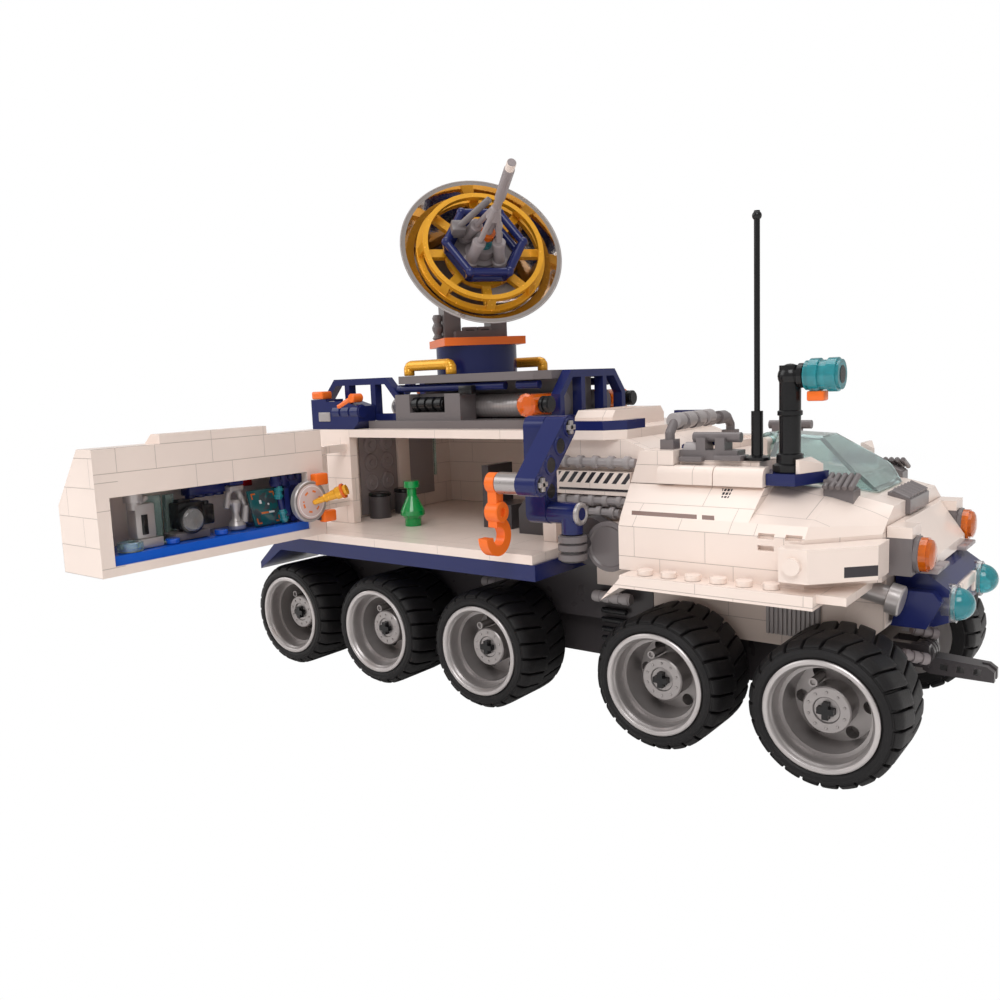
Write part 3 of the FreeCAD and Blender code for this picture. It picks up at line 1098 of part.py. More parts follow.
def deck_fittings():
    """Grey plates, clips and the roll bar behind the canopy."""
    top = FLAT_Z + PLATE
    plates = both_sides(box(MID_END + SEAM, COCKPIT_REAR - 1, -DECK_IN, 2 * PLATE - DECK_IN, FLAT_Z, top))
    clips = []
    for x in (MID_END + 6, MID_END + 12.5):
        clips.append(both_sides(box(x, x + PLATE, -DECK_IN, 2 * PLATE - DECK_IN, top - 1, top + 4)))
    grip = both_sides(rod(V(MID_END + 4, PLATE - DECK_IN, top + 4), V(MID_END + 20, PLATE - DECK_IN, top + 4), BAR_R))
    near = [plates, grip] + clips
    groups = [fused(*[p.Solids[i] for p in near]) for i in (0, 1)]
    hull = shoulder()
    slopes = [both_sides(ribbed_slope(RIBBED_SIDE).cut(hull)), ribbed_slope(RIBBED_FRONT).cut([hull, nose()])]
    return Part.makeCompound(groups + [roll_bar()] + slopes)


def ribbed_slope(sizes):
    """Short wedge that falls forward, with thick round ribs down its slope."""
    x0, x1, y0, y1, foot, top, count = sizes
    wedge = prism_y([(x0, foot - PLATE), (x0, top - 1), (x0 + 1, top - 1), (x1, foot + 1), (x1, foot - PLATE)], y0, y1)
    pitch = (y1 - y0) / count
    places = [y0 + pitch * (i + 0.5) for i in range(count)]
    ribs = [rod(V(x0 + 1, y, top - 1), V(x1 - 0.6, y, foot + 1), pitch * 0.36) for y in places]
    return fused(wedge, *ribs)


def mast_block():
    """White block with a sloping front on the mast plate."""
    x0, x1, y0, y1, high = MAST_BLOCK
    foot = MAST_PLATE_TOP
    outline = [(x0, foot), (x0, foot + high), (x0 + 1, foot + high), (x1, foot + high / 2), (x1, foot)]
    corners = [(x, -y) for x, y in MAST_PLATE]
    return prism_y(outline, y0, y1).common(prism_z(corners, foot, foot + high))


def roll_bar():
    """Bent grey bar across the hull with four sleeves on its top."""
    x, foot, top = ROLL_X, MID_TOP, MID_TOP + ROLL_H
    y0, y1 = ROLL_ENDS
    feet = ((y0, foot + BAR_R / 2), (y1, foot))
    bends = [V(x, y0, foot + PLATE), V(x, y0, top - ROLL_CORNER), V(x, y0 + ROLL_CORNER, top),
             V(x, y1 - ROLL_CORNER, top), V(x, y1, top - ROLL_CORNER), V(x, y1, foot + PLATE / 2)]
    pieces = [rod(start, end, BAR_R) for start, end in zip(bends, bends[1:])]
    pieces += [Part.makeSphere(BAR_R, bend) for bend in bends[1:-1]]
    pitch = (y1 - y0 - 2 * ROLL_CORNER) / ROLL_SLEEVES
    for i in range(ROLL_SLEEVES):
        start = y0 + ROLL_CORNER + pitch * (i + 0.25)
        pieces.append(rod(V(x, start, top), V(x, start + pitch / 2, top), STUD_R))
    for y, z in feet:
        pieces.append(box(x - STUD_R, x + STUD_R, y - STUD_R, y + STUD_R, z, foot + PLATE + BAR_R / 2))
    return fused(*pieces)


def mast_plate():
    """Navy plate on the deck's corner that carries both masts."""
    corners = [(x, -y) for x, y in MAST_PLATE]
    return both_sides(prism_z(corners, MAST_PLATE_BOTTOM, MAST_PLATE_TOP))


def claw():
    """Grabber claw on its own hinge below the bumper, with slots through its blade."""
    start, end, foot = CLAW_X, CLAW_X + CLAW_LEN, CLAW_PIVOT_Z - CLAW_DROP
    outline = [(start, foot + CLAW_HIGH), (end - 2, foot + CLAW_HIGH - 1), (end, foot + CLAW_HIGH - 2.5), (end, foot),
               (start + 2, foot), (start, foot + 1)]
    blade = prism_y(outline, CLAW_Y - CLAW_HALF, CLAW_Y + CLAW_HALF)
    knuckle = rod(V(start, CLAW_Y - CLAW_HALF, CLAW_PIVOT_Z), V(start, CLAW_Y + CLAW_HALF, CLAW_PIVOT_Z), CLAW_HALF - 0.4)
    bore = rod(V(start, CLAW_Y - 9, CLAW_PIVOT_Z), V(start, CLAW_Y + 9, CLAW_PIVOT_Z), BAR_R + RUNNING)
    pitch = (CLAW_LEN - 6) / CLAW_SLOTS
    slots = [box(start + 5 + pitch * i, start + 5 + pitch * (i + 0.45), CLAW_Y - 9, CLAW_Y + 9, foot + 1.6,
                 foot + CLAW_HIGH - 2) for i in range(CLAW_SLOTS)]
    mouth = box(end - 4, end + 1, CLAW_Y - CLAW_HALF / 3, CLAW_Y + CLAW_HALF / 3, foot - 1, foot + CLAW_HIGH)
    return fused(blade, knuckle).cut([bore, mouth] + slots)


os.makedirs("parts", exist_ok=True)
write_wheels()
write_chassis()
write_cabin()
write_door()
write_hull()
write_canopy()
write_roof_works()
write_dish()
write_arm()
write_fittings()
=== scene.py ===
"""Dress the ten-wheeled planetary rover: finishes for its frame, and the small pieces on it."""

import json
import math

import bpy
from mathutils import Matrix, Vector


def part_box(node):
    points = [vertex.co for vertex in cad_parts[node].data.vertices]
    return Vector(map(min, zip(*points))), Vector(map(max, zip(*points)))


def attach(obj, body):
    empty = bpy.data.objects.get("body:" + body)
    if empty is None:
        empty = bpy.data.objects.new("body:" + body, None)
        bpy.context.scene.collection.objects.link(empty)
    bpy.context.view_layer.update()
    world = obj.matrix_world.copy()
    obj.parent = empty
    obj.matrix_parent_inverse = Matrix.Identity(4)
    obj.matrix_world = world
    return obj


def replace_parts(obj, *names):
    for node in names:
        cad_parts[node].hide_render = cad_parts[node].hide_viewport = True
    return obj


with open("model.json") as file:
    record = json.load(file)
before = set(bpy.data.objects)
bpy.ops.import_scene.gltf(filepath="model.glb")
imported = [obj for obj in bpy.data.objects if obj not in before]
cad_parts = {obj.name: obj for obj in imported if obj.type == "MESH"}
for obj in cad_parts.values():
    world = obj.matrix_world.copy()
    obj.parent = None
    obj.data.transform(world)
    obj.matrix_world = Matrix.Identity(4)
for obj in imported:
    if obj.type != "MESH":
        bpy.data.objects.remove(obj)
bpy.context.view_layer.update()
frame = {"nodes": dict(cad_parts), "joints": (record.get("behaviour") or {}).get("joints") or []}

bl_info = {
    "name": "Planetary rover",
    "version": (1, 0, 0),
    "blender": (4, 5, 0),
    "location": "View3D > Sidebar > Rover",
    "description": "Builds the pieces and finishes of a brick-built planetary rover",
    "category": "Object",
}

MM = 0.001
STUD_R = 2.4                # mm
STUD_H = 1.7                # mm
STUD_PITCH = 8 * MM
PLATE = 3.2 * MM
BRICK = 9.6 * MM
CLEAR = 0.15 * MM          # a piece stands this far off the face that it sits on
WHEELSETS = (1, 2, 3, 4, 5)
AHEAD, UP = (1, 0, 0), (0, 0, 1)


def low(node):
    """Lowest corner of a CAD node's box."""
    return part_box(node)[0]


def high(node):
    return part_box(node)[1]


def middle(node):
    return (low(node) + high(node)) / 2


def spot(node, where):
    """Point of a CAD node's box: for each axis its low end, middle or high end (l, m, h), or 0."""
    ends = {"l": low(node), "m": middle(node), "h": high(node), "0": Vector((0, 0, 0))}
    return Vector([ends[letter][axis] for axis, letter in enumerate(where)])


def mm(x, y, z):
    """Point or path given in mm."""
    return Vector((x, y, z)) * MM


def joint_of(name):
    return next(joint for joint in frame["joints"] if joint["name"] == name)


def joint_place(name):
    return Vector(joint_of(name)["pos_m"])


def joint_axis(name):
    return Vector(joint_of(name)["axis"])


# ---------------------------------------------------------------- settings
def colour(name, text, value):
    return bpy.props.FloatVectorProperty(name=name, description=text, default=value, subtype="COLOR",
                                         size=3, min=0, max=1)


def length(name, text, value):
    return bpy.props.FloatProperty(name=name, description=text, default=value, unit="LENGTH", min=0)


class RoverColours(bpy.types.PropertyGroup):
    """Colours of the mouldings."""
    white: colour("White", "Body bricks", (0.86, 0.735, 0.665))
    navy: colour("Navy", "Bumper, rails and arm", (0.012, 0.018, 0.10))
    dark_grey: colour("Dark grey", "Chassis and fittings", (0.062, 0.055, 0.058))
    grey: colour("Grey", "Roof base, pipes and clips", (0.17, 0.15, 0.152))
    hub_grey: colour("Hub grey", "Hub, struts and needle of the dish", (0.31, 0.27, 0.275))
    pipe_grey: colour("Pipe grey", "Pipes on the sides and tanks", (0.36, 0.33, 0.33))
    silver: colour("Silver", "Tanks, pins and rims", (0.42, 0.39, 0.385))
    rim: colour("Rim", "Machined ring of the rims", (0.50, 0.47, 0.465))
    gold: colour("Gold", "Dish basket and handles", (0.80, 0.38, 0.02))
    mirror: colour("Mirror", "Face of the dish", (0.55, 0.50, 0.47))
    orange: colour("Orange", "Hook and turret plate", (0.90, 0.17, 0.02))
    lamp: colour("Lamp", "Orange lamps", (0.95, 0.19, 0.01))
    teal: colour("Teal", "Canopy and lights", (0.04, 0.44, 0.50))
    canopy: colour("Canopy", "Clear canopy", (0.52, 0.70, 0.68))
    green: colour("Green", "Flask", (0.0, 0.42, 0.09))
    blue: colour("Blue", "Tiles of the door's shelf", (0.01, 0.10, 0.55))
    rubber: colour("Rubber", "Tyres", (0.0065, 0.006, 0.0065))
    black: colour("Black", "Masts and axles", (0.008, 0.008, 0.009))
    mark: colour("Mark", "Stripes printed on the hull", (0.035, 0.03, 0.035))


class RoverSizes(bpy.types.PropertyGroup):
    """Sizes that shape the small pieces."""
    seam: length("Seam", "Width of the joint between two bricks", 0.18 * MM)
    tread: length("Tread", "Depth of the tyres' grooves", 1.5 * MM)


# ---------------------------------------------------------------- shader maths
class Term:
    """A number that changes over a surface. Arithmetic on terms adds the Math nodes."""

    def __init__(self, finish, socket):
        self.finish = finish
        self.socket = socket

    def maths(self, operation, *others):
        return self.finish.maths(operation, self, *others)

    def __add__(self, other):
        return self.maths("ADD", other)

    def __sub__(self, other):
        return self.maths("SUBTRACT", other)

    def __rsub__(self, other):
        return self.finish.maths("SUBTRACT", other, self)

    def __mul__(self, other):
        return self.maths("MULTIPLY", other)

    def __truediv__(self, other):
        return self.maths("DIVIDE", other)

    def __lt__(self, other):
        return self.maths("LESS_THAN", other)

    def __gt__(self, other):
        return self.maths("GREATER_THAN", other)

    def __abs__(self):
        return self.maths("ABSOLUTE")

    def fraction(self):
        return self.maths("FRACT")

    def floor(self):
        return self.maths("FLOOR")

    def either(self, other):
        return self.maths("MAXIMUM", other)

    def near(self, value, reach):
        """1 where the term is within reach of a value."""
        return abs(self - value) < reach

    def within(self, start, end):
        return self.near((start + end) / 2, abs(end - start) / 2)


class Finish:
    """One node material with the coordinates that its patterns use."""

    def __init__(self, name):
        self.material = bpy.data.materials.new(name)
        self.material.use_nodes = True
        self.tree = self.material.node_tree
        self.shader = self.tree.nodes["Principled BSDF"]
        places = self.tree.nodes.new("ShaderNodeTexCoord")
        self.place = places.outputs["Object"]
        self.x, self.y, self.z = self.split(self.place)
        self.nx, self.ny, self.nz = self.split(places.outputs["Normal"])

    def split(self, socket):
        node = self.tree.nodes.new("ShaderNodeSeparateXYZ")
        self.tree.links.new(socket, node.inputs[0])
        return [Term(self, out) for out in node.outputs]

    def node(self, kind, settings, inputs, out=0):
        """Any node, from its settings and the values or links of its sockets."""
        node = self.tree.nodes.new(kind)
        for key, value in settings.items():
            setattr(node, key, value)
        for key, value in inputs.items():
            self.feed(node.inputs[key], value)
        return Term(self, node.outputs[out])

    def feed(self, socket, value):
        if isinstance(value, Term):
            self.tree.links.new(value.socket, socket)
        elif isinstance(value, bpy.types.NodeSocket):
            self.tree.links.new(value, socket)
        else:
            socket.default_value = value

    def maths(self, operation, *terms):
        return self.node("ShaderNodeMath", {"operation": operation}, dict(enumerate(terms)))

    def noise(self, scale, detail):
        return self.node("ShaderNodeTexNoise", {}, {"Vector": self.place, "Scale": scale, "Detail": detail})

    def mix(self, factor, first, second):
        """Colour between two colours."""
        sockets = {0: factor, 6: rgba(first), 7: rgba(second)}
        return self.node("ShaderNodeMix", {"data_type": "RGBA"}, sockets, 2)

    def bump(self, height, distance):
        relief = self.node("ShaderNodeBump", {}, {"Strength": 1.0, "Distance": distance, "Height": height})
        self.feed(self.shader.inputs["Normal"], relief)

    def set(self, **values):
        names = {"base": "Base Color", "rough": "Roughness", "metal": "Metallic", "coat": "Coat Weight",
                 "coat_rough": "Coat Roughness", "clear": "Transmission Weight", "ior": "IOR",
                 "shine": "Specular IOR Level"}
        for key, value in values.items():
            self.feed(self.shader.inputs[names[key]], rgba(value) if key == "base" else value)


def rgba(value):
    return value if isinstance(value, Term) else tuple(value)[:3] + (1.0,)


def shade(value, amount):
    """The colour made darker (below 1) or lighter."""
    return tuple(min(1.0, part * amount) for part in value)


def bricks(along, up, start, pitch, course, seam):
    """Joints of a wall laid in courses, each course shifted against the one below."""
    rows = (up - start[1]) / course
    lying = rows.fraction() < seam / course
    shift = (rows.floor() * 0.37).fraction()
    standing = ((along - start[0]) / pitch + shift).fraction() < seam / pitch
    return lying.either(standing)


def facing(finish):
    """Masks of the faces that look along each axis."""
    return [abs(part) > 0.7 for part in (finish.nx, finish.ny, finish.nz)]


def moulded(name, tint, rough, joints=None, marks=()):
    """Moulded plastic: faint mottling, a waxy gloss that varies, fine ripple, joints and printed marks."""
    finish = Finish(name)
    cloud = finish.noise(45, 3)
    grain = finish.noise(1400, 2)
    gloss = finish.noise(110, 2)
    base = finish.mix(cloud, shade(tint, 0.93), shade(tint, 1.05))
    height = cloud * 0.35 + grain * 0.05
    if joints is not None:
        gap = joints(finish)
        base = finish.mix(gap * 0.6, base, shade(tint, 0.42))
        height = height - gap * 1.2
    for area, ink in marks:
        base = finish.mix(area(finish), base, ink)
    finish.set(base=base, rough=gloss * 0.14 + (rough - 0.07), shine=0.35, ior=1.5)
    finish.bump(height, 0.12 * MM)
    return finish.material


def clear_plastic(name, tint, density):
    """See-through tinted plastic."""
    finish = Finish(name)
    cloud = finish.noise(60, 2)
    finish.set(base=finish.mix(cloud, shade(tint, 0.92), shade(tint, 1.08)), rough=cloud * 0.05 + 0.05,
               clear=density, ior=1.45, coat=0.4, coat_rough=0.04)
    finish.bump(cloud, 0.1 * MM)
    return finish.material


def metallised(name, tint, metal, rough, rings=None):
    """Painted or plated metal look, with fine turning marks where rings are given."""
    finish = Finish(name)
    cloud = finish.noise(70, 3)
    grain = finish.noise(900, 2)
    base = finish.mix(cloud, shade(tint, 0.9), shade(tint, 1.08))
    height = grain * 0.2 + cloud * 0.4
    if rings is not None:
        marks = rings(finish)
        base = finish.mix(marks * 0.25, base, shade(tint, 0.6))
        height = height + marks * 0.4
    finish.set(base=base, metal=metal, rough=grain * 0.08 + rough, coat=0.2, coat_rough=0.1)
    finish.bump(height, 0.08 * MM)
    return finish.material


def rubber(name, tint):
    """Soft tyre rubber with dust in its pores."""
    finish = Finish(name)
    pores = finish.noise(1800, 3)
    dust = finish.noise(90, 4)
    finish.set(base=finish.mix(dust, tint, shade(tint, 1.7)), rough=pores * 0.15 + 0.45, shine=0.28)
    finish.bump(pores * 0.5 + dust * 0.3, 0.15 * MM)
    return finish.material


# ---------------------------------------------------------------- modelling tools
# Points are in m, as the frame's; radii, edges and profiles are in mm.
def start():
    """Nothing selected and no piece in edit mode."""
    if bpy.context.object is not None and bpy.context.object.mode != "OBJECT":
        bpy.ops.object.mode_set(mode="OBJECT")
    bpy.ops.object.select_all(action="DESELECT")


def only(piece):
    start()
    piece.select_set(True)
    bpy.context.view_layer.objects.active = piece


def keep_place(piece):
    """Move the object's place, turn and scale into its mesh."""
    only(piece)
    bpy.ops.object.transform_apply(location=True, rotation=True, scale=True)
    return piece


def cube(lo, hi):
    """Block between two corners, as a cube at its place and size."""
    start()
    lo, hi = Vector(lo), Vector(hi)
    bpy.ops.mesh.primitive_cube_add(size=1, location=(lo + hi) / 2, scale=hi - lo)
    return keep_place(bpy.context.object)


def bar(foot, tip, radius, sides=24):
    """Round bar between two points."""
    start()
    foot, tip = Vector(foot), Vector(tip)
    path = tip - foot
    bpy.ops.mesh.primitive_cylinder_add(vertices=sides, radius=radius * MM, depth=path.length,
                                        location=(foot + tip) / 2,
                                        rotation=path.to_track_quat("Z", "Y").to_euler())
    return keep_place(bpy.context.object)


def ball(centre, radius):
    start()
    bpy.ops.mesh.primitive_uv_sphere_add(segments=24, ring_count=12, radius=radius * MM, location=centre)
    return keep_place(bpy.context.object)


def hoop(centre, axis, radius, thick, segments, sides):
    start()
    bpy.ops.mesh.primitive_torus_add(major_radius=radius * MM, minor_radius=thick * MM,
                                     major_segments=segments, minor_segments=sides, location=centre,
                                     rotation=Vector(axis).to_track_quat("Z", "Y").to_euler())
    return keep_place(bpy.context.object)


def turned(profile, foot, axis, sides, ring=False):
    """Lathe-turned piece: circles of (radius, height) in m, extruded one from the next along an axis."""
    start()
    radius, height = profile[0]
    bpy.ops.mesh.primitive_circle_add(vertices=sides, radius=radius, location=(0, 0, height))
    piece = keep_place(bpy.context.object)
    edit(piece)
    for wider, higher in profile[1:]:
        bpy.ops.mesh.extrude_region_move(TRANSFORM_OT_translate={"value": (0, 0, higher - height)})
        bpy.ops.transform.resize(value=(wider / radius, wider / radius, 1), center_override=(0, 0, 0))
        radius, height = wider, higher
    if ring:
        bpy.ops.mesh.select_all(action="DESELECT")
        bpy.ops.mesh.select_non_manifold(extend=False)
        bpy.ops.mesh.bridge_edge_loops()
    else:
        bpy.ops.mesh.select_all(action="SELECT")
        bpy.ops.mesh.fill_holes(sides=0)
    bpy.ops.mesh.select_all(action="SELECT")
    bpy.ops.mesh.normals_make_consistent(inside=False)
    done(piece)
    piece.data.transform(Matrix.Translation(foot) @ Vector(axis).to_track_quat("Z", "Y").to_matrix().to_4x4())
    return piece


def lathe(profile, foot, axis, sides, ring=False):
    """Lathe-turned piece from a profile in mm."""
    return turned([(radius * MM, height * MM) for radius, height in profile], foot, axis, sides, ring)


def rod(foot, tip, radius, edge=0.25, sides=24):
    """Round bar between two points, with chamfered ends."""
    path = Vector(tip) - Vector(foot)
    radius, edge = radius * MM, edge * MM
    profile = [(radius - edge, 0), (radius, edge), (radius, path.length - edge), (radius - edge, path.length)]
    return turned(profile, foot, path, sides)


def ribbed(foot, tip, radius, ribs, depth, share=0.5):
    """Round bar with rings along it, which take up a share of its length."""
    path = Vector(tip) - Vector(foot)
    radius, depth, pitch = radius * MM, depth * MM, path.length / ribs
    profile = [(radius - depth, 0)]
    for i in range(ribs):
        centre, half = pitch * (i + 0.5), pitch * share / 2
        profile += [(radius - depth, centre - half - 0.1 * depth), (radius, centre - half + 0.3 * depth),
                    (radius, centre + half - 0.3 * depth), (radius - depth, centre + half + 0.1 * depth)]
    return turned(profile + [(radius - depth, path.length)], foot, path, 24)


def brick(lo, hi, edge=0.3):
    """Block with rounded edges."""
    return rounded(cube(lo, hi), edge, 2)


def stud(foot, height=STUD_H):
    """Upright stud of a brick."""
    return rod(foot, foot + Vector(UP) * (height * MM), STUD_R, 0.2, 20)


def edit(piece, faces=None, edges=None):
    """Edit mode with the faces or the edges that the test picks, or everything."""
    only(piece)
    mesh = piece.data
    bpy.ops.object.mode_set(mode="EDIT")
    bpy.ops.mesh.select_mode(type="FACE" if faces else "EDGE" if edges else "VERT")
    if not (faces or edges):
        bpy.ops.mesh.select_all(action="SELECT")
        return
    bpy.ops.mesh.select_all(action="DESELECT")
    bpy.ops.object.mode_set(mode="OBJECT")
    if faces:
        for face in mesh.polygons:
            face.select = bool(faces(face.center, face.normal))
    else:
        for edge in mesh.edges:
            first, second = (mesh.vertices[i].co for i in edge.vertices)
            edge.select = bool(edges(first, second))
    bpy.ops.object.mode_set(mode="EDIT")


def done(piece):
    bpy.ops.object.mode_set(mode="OBJECT")
    return piece


def rounded(piece, width, segments, faces=None, edges=None):
    """Edges rounded, all of them or those that the test picks."""
    edit(piece, faces=faces, edges=edges)
    bpy.ops.mesh.bevel(offset=width * MM, offset_type="OFFSET", segments=segments, affect="EDGES")
    return done(piece)


def sunk(piece, faces, rim, depth):
    """Picked faces inset by a rim and pushed in by a depth."""
    edit(piece, faces=faces)
    bpy.ops.mesh.inset(thickness=rim * MM, use_individual=True)
    bpy.ops.mesh.extrude_region_shrink_fatten(TRANSFORM_OT_shrink_fatten={"value": -depth * MM})
    return done(piece)


def resized(piece, faces, factor):
    """Picked faces scaled about their middle."""
    edit(piece, faces=faces)
    bpy.ops.transform.resize(value=factor)
    return done(piece)


def joined(pieces):
    if len(pieces) == 1:
        return pieces[0]
    start()
    for piece in pieces:
        piece.select_set(True)
    bpy.context.view_layer.objects.active = pieces[0]
    bpy.ops.object.join()
    return pieces[0]


def copy(piece, place):
    """The same piece with its own mesh, moved by a matrix."""
    new = piece.copy()
    new.data = piece.data.copy()
    bpy.context.collection.objects.link(new)
    new.data.transform(place)
    if place.determinant() < 0:
        new.data.flip_normals()
    return new


def copies(piece, places):
    """One piece made of copies of another at several places; the first goes away."""
    made = joined([copy(piece, place) for place in places])
    bpy.data.objects.remove(piece)
    return made


def at(x, y, z):
    return Matrix.Translation((x, y, z))


def mirror_y():
    return Matrix.Scale(-1, 4, (0, 1, 0))


def both_sides(*pieces):
    """Each piece together with the same piece on the rover's other side."""
    return [copies(piece, [Matrix.Identity(4), mirror_y()]) for piece in pieces]


def about_y(degrees):
    """Turn about the Y axis."""
    return Matrix.Rotation(math.radians(degrees), 4, "Y")


def set_at(pieces, place):
    """Pieces made about the origin, moved to their place."""
    for piece in pieces:
        piece.data.transform(place)
    return pieces


def finished(pieces, name, body, finish, smooth=30):
    """Join, name, smooth and paint the pieces, and set them on their body."""
    piece = joined(pieces)
    piece.name = name
    piece.data.name = name
    edit(piece)
    bpy.ops.mesh.normals_make_consistent(inside=False)
    done(piece)
    bpy.ops.object.shade_smooth_by_angle(angle=math.radians(smooth))
    piece.data.materials.clear()
    piece.data.materials.append(bpy.data.materials[finish])
    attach(piece, body)
    return piece


# ---------------------------------------------------------------- joints and marks of the frame's pieces
HULL_FOOT = 59.2 * MM       # height at which the courses of the upper hull begin


def wall_joints(pitch=2 * STUD_PITCH, course=BRICK, start_x=0.0, foot=0.0):
    """Joints on all faces of a brick-built body: courses on its sides, long tiles on its top."""
    def joints(finish):
        seam = bpy.context.scene.rover_sizes.seam
        on_end, on_side, on_top = facing(finish)
        side = bricks(finish.x, finish.z, (start_x, foot), pitch, course, seam)
        end = bricks(finish.y, finish.z, (0.0, foot), pitch, course, seam)
        top = bricks(finish.x, finish.y, (start_x, 0.0), 4 * STUD_PITCH, 2 * STUD_PITCH, seam)
        return side * on_side + end * on_end + top * on_top
    return joints


def band(term, start, end):
    """1 where a coordinate lies between two places in mm."""
    return term.within(start * MM, end * MM)


def lines(term, places, seam):
    """Joints at listed places of one coordinate, in mm."""
    found = term.near(places[0] * MM, seam / 2)
    for place in places[1:]:
        found = found.either(term.near(place * MM, seam / 2))
    return found


DOOR_UPRIGHTS = (-150, -136, -114, -91.5, -77, -62)     # mm along the door: joints of its top course
DOOR_LINTEL = (-121, -106)      # mm along the door: joints of the course over its recess
DOOR_COURSES = (85.0, 92.8, 100.8)      # mm up: foot of the lintel, foot of the top course, seam above it
DOOR_STEPS = (62.4, 81.0, 90.0)         # mm up: seams at the door's free end


def door_joints(finish):
    """Joints of the door: one long course over the recess, two rows of upright joints, stepped ends."""
    seam = bpy.context.scene.rover_sizes.seam
    on_end, on_side, on_top = facing(finish)
    lo = low("door_panel") / MM
    lintel_z, long_z, seam_z = DOOR_COURSES
    upper = lines(finish.y, DOOR_UPRIGHTS, seam) * (finish.z > long_z * MM)
    second = lines(finish.y, DOOR_LINTEL, seam) * band(finish.z, lintel_z, long_z)
    level = lines(finish.z, (long_z, seam_z), seam)
    ends = lines(finish.z, DOOR_STEPS, seam) * band(finish.y, lo.y, DOOR_UPRIGHTS[0])
    inner = upper.either(second).either(level).either(ends)
    outer = bricks(finish.y, finish.z, (0, lo.z * MM), 4 * STUD_PITCH, BRICK, seam)
    inside = finish.nx > 0
    side = bricks(finish.x, finish.z, (lo.x * MM, lo.z * MM), 3 * STUD_PITCH, BRICK, seam)
    top = lines(finish.y, DOOR_UPRIGHTS, seam)
    return on_end * (inner * inside + outer * (1 - inside)) + side * on_side + top * on_top


def slab_joints(places_x=(), places_y=()):
    """Joints between long tiles, at listed places."""
    def joints(finish):
        seam = bpy.context.scene.rover_sizes.seam
        found = None
        for term, places in ((finish.x, places_x), (finish.y, places_y)):
            if places:
                here = lines(term, places, seam)
                found = here if found is None else found.either(here)
        return found
    return joints


STRIPES_X = (13.5, 42.0)    # mm: ends of the striped panels on the middle hull
STRIPES_Z = (81.2, 85.0)    # mm: foot and top of the stripes
BAR_Z = (78.6, 79.4)        # mm: foot and top of the bar under them


def hazard_stripes(finish):
    """Eight slanting dark stripes on the upper half of the panels on the middle hull."""
    rear, front, foot = STRIPES_X[0] * MM, STRIPES_X[1] * MM, STRIPES_Z[0] * MM
    pitch = (front - rear) / 8
    slanted = ((finish.x - rear - (finish.z - foot) * 0.8) / pitch).fraction() < 0.5
    return slanted * band(finish.x, *STRIPES_X) * band(finish.z, *STRIPES_Z) * (abs(finish.ny) > 0.9)


def hazard_bar(finish):
    """Plain dark bar under the stripes."""
    return band(finish.x, *STRIPES_X) * band(finish.z, *BAR_Z) * (abs(finish.ny) > 0.9)


def on_slope(finish):
    """The sloping sides of the shoulder."""
    return abs(finish.ny) * (finish.nz > 0.3) > 0.3


def slope_stripe(finish):
    """Thin brown stripe along the lower edge of the sloping sides, stepped at its front end."""
    slant = finish.x + (finish.z - 74 * MM) * 0.7
    parts = band(slant, 49, 71.5).either(band(slant, 73.2, 77.2))
    return on_slope(finish) * band(finish.z, 73.3, 74.4) * parts


def slope_squares(finish):
    """Group of small dark squares near the top of the sloping sides."""
    rear, front, foot, top = 75, 78.6, 79.0, 81.6
    cells = ((finish.x / (1.1 * MM)).fraction() < 0.72) * ((finish.z / (0.95 * MM)).fraction() < 0.72)
    wedge = (finish.x - rear * MM) > (top * MM - finish.z) * 0.5
    return on_slope(finish) * cells * wedge * band(finish.x, rear, front) * band(finish.z, foot, top)


def nose_marks(finish):
    """Plain dark bar on the receding faces of the blocks beside the nose."""
    return band(finish.x, 117.0, 124.5) * band(finish.z, 60.4, 63.4) * (abs(finish.ny) > 0.4)


def tank_rings(finish):
    """Fine turning marks round the tanks."""
    return (finish.x / (1.6 * MM)).fraction() < 0.2


PLAIN_FINISHES = (      # finish, colour setting, roughness, nodes
    ("navy_plastic", "navy", 0.18, ("bumper", "mast_plate", "rails", "rear_units", "turret_drum",
                                    "sills", "feed_frame", "arm_boom", "arm_upright")),
    ("dark_plastic", "dark_grey", 0.30, ("arm_base", "chassis_spine", "claw", "lab_fittings")),
    ("grey_plastic", "grey", 0.24, ("deck", "deck_fittings", "lamp_blocks", "roof_base", "turret_fork")),
    ("black_plastic", "black", 0.22, ("masts", "axle_1", "axle_2", "axle_3", "axle_4", "axle_5")),
    ("hub_plastic", "hub_grey", 0.24, ("dish_neck",)),
    ("pipe_plastic", "pipe_grey", 0.22, ("side_pipes",)),
    ("orange_plastic", "orange", 0.22, ("arm_hook", "turret_plate")),
    ("blue_plastic", "blue", 0.16, ("door_shelf",)),
)


def paint(node, material):
    """Give a CAD node its finish."""
    piece = frame["nodes"][node]
    if not piece.material_slots:
        raise RuntimeError("the node %s has no material slot" % node)
    for holder in piece.material_slots:
        holder.material = material


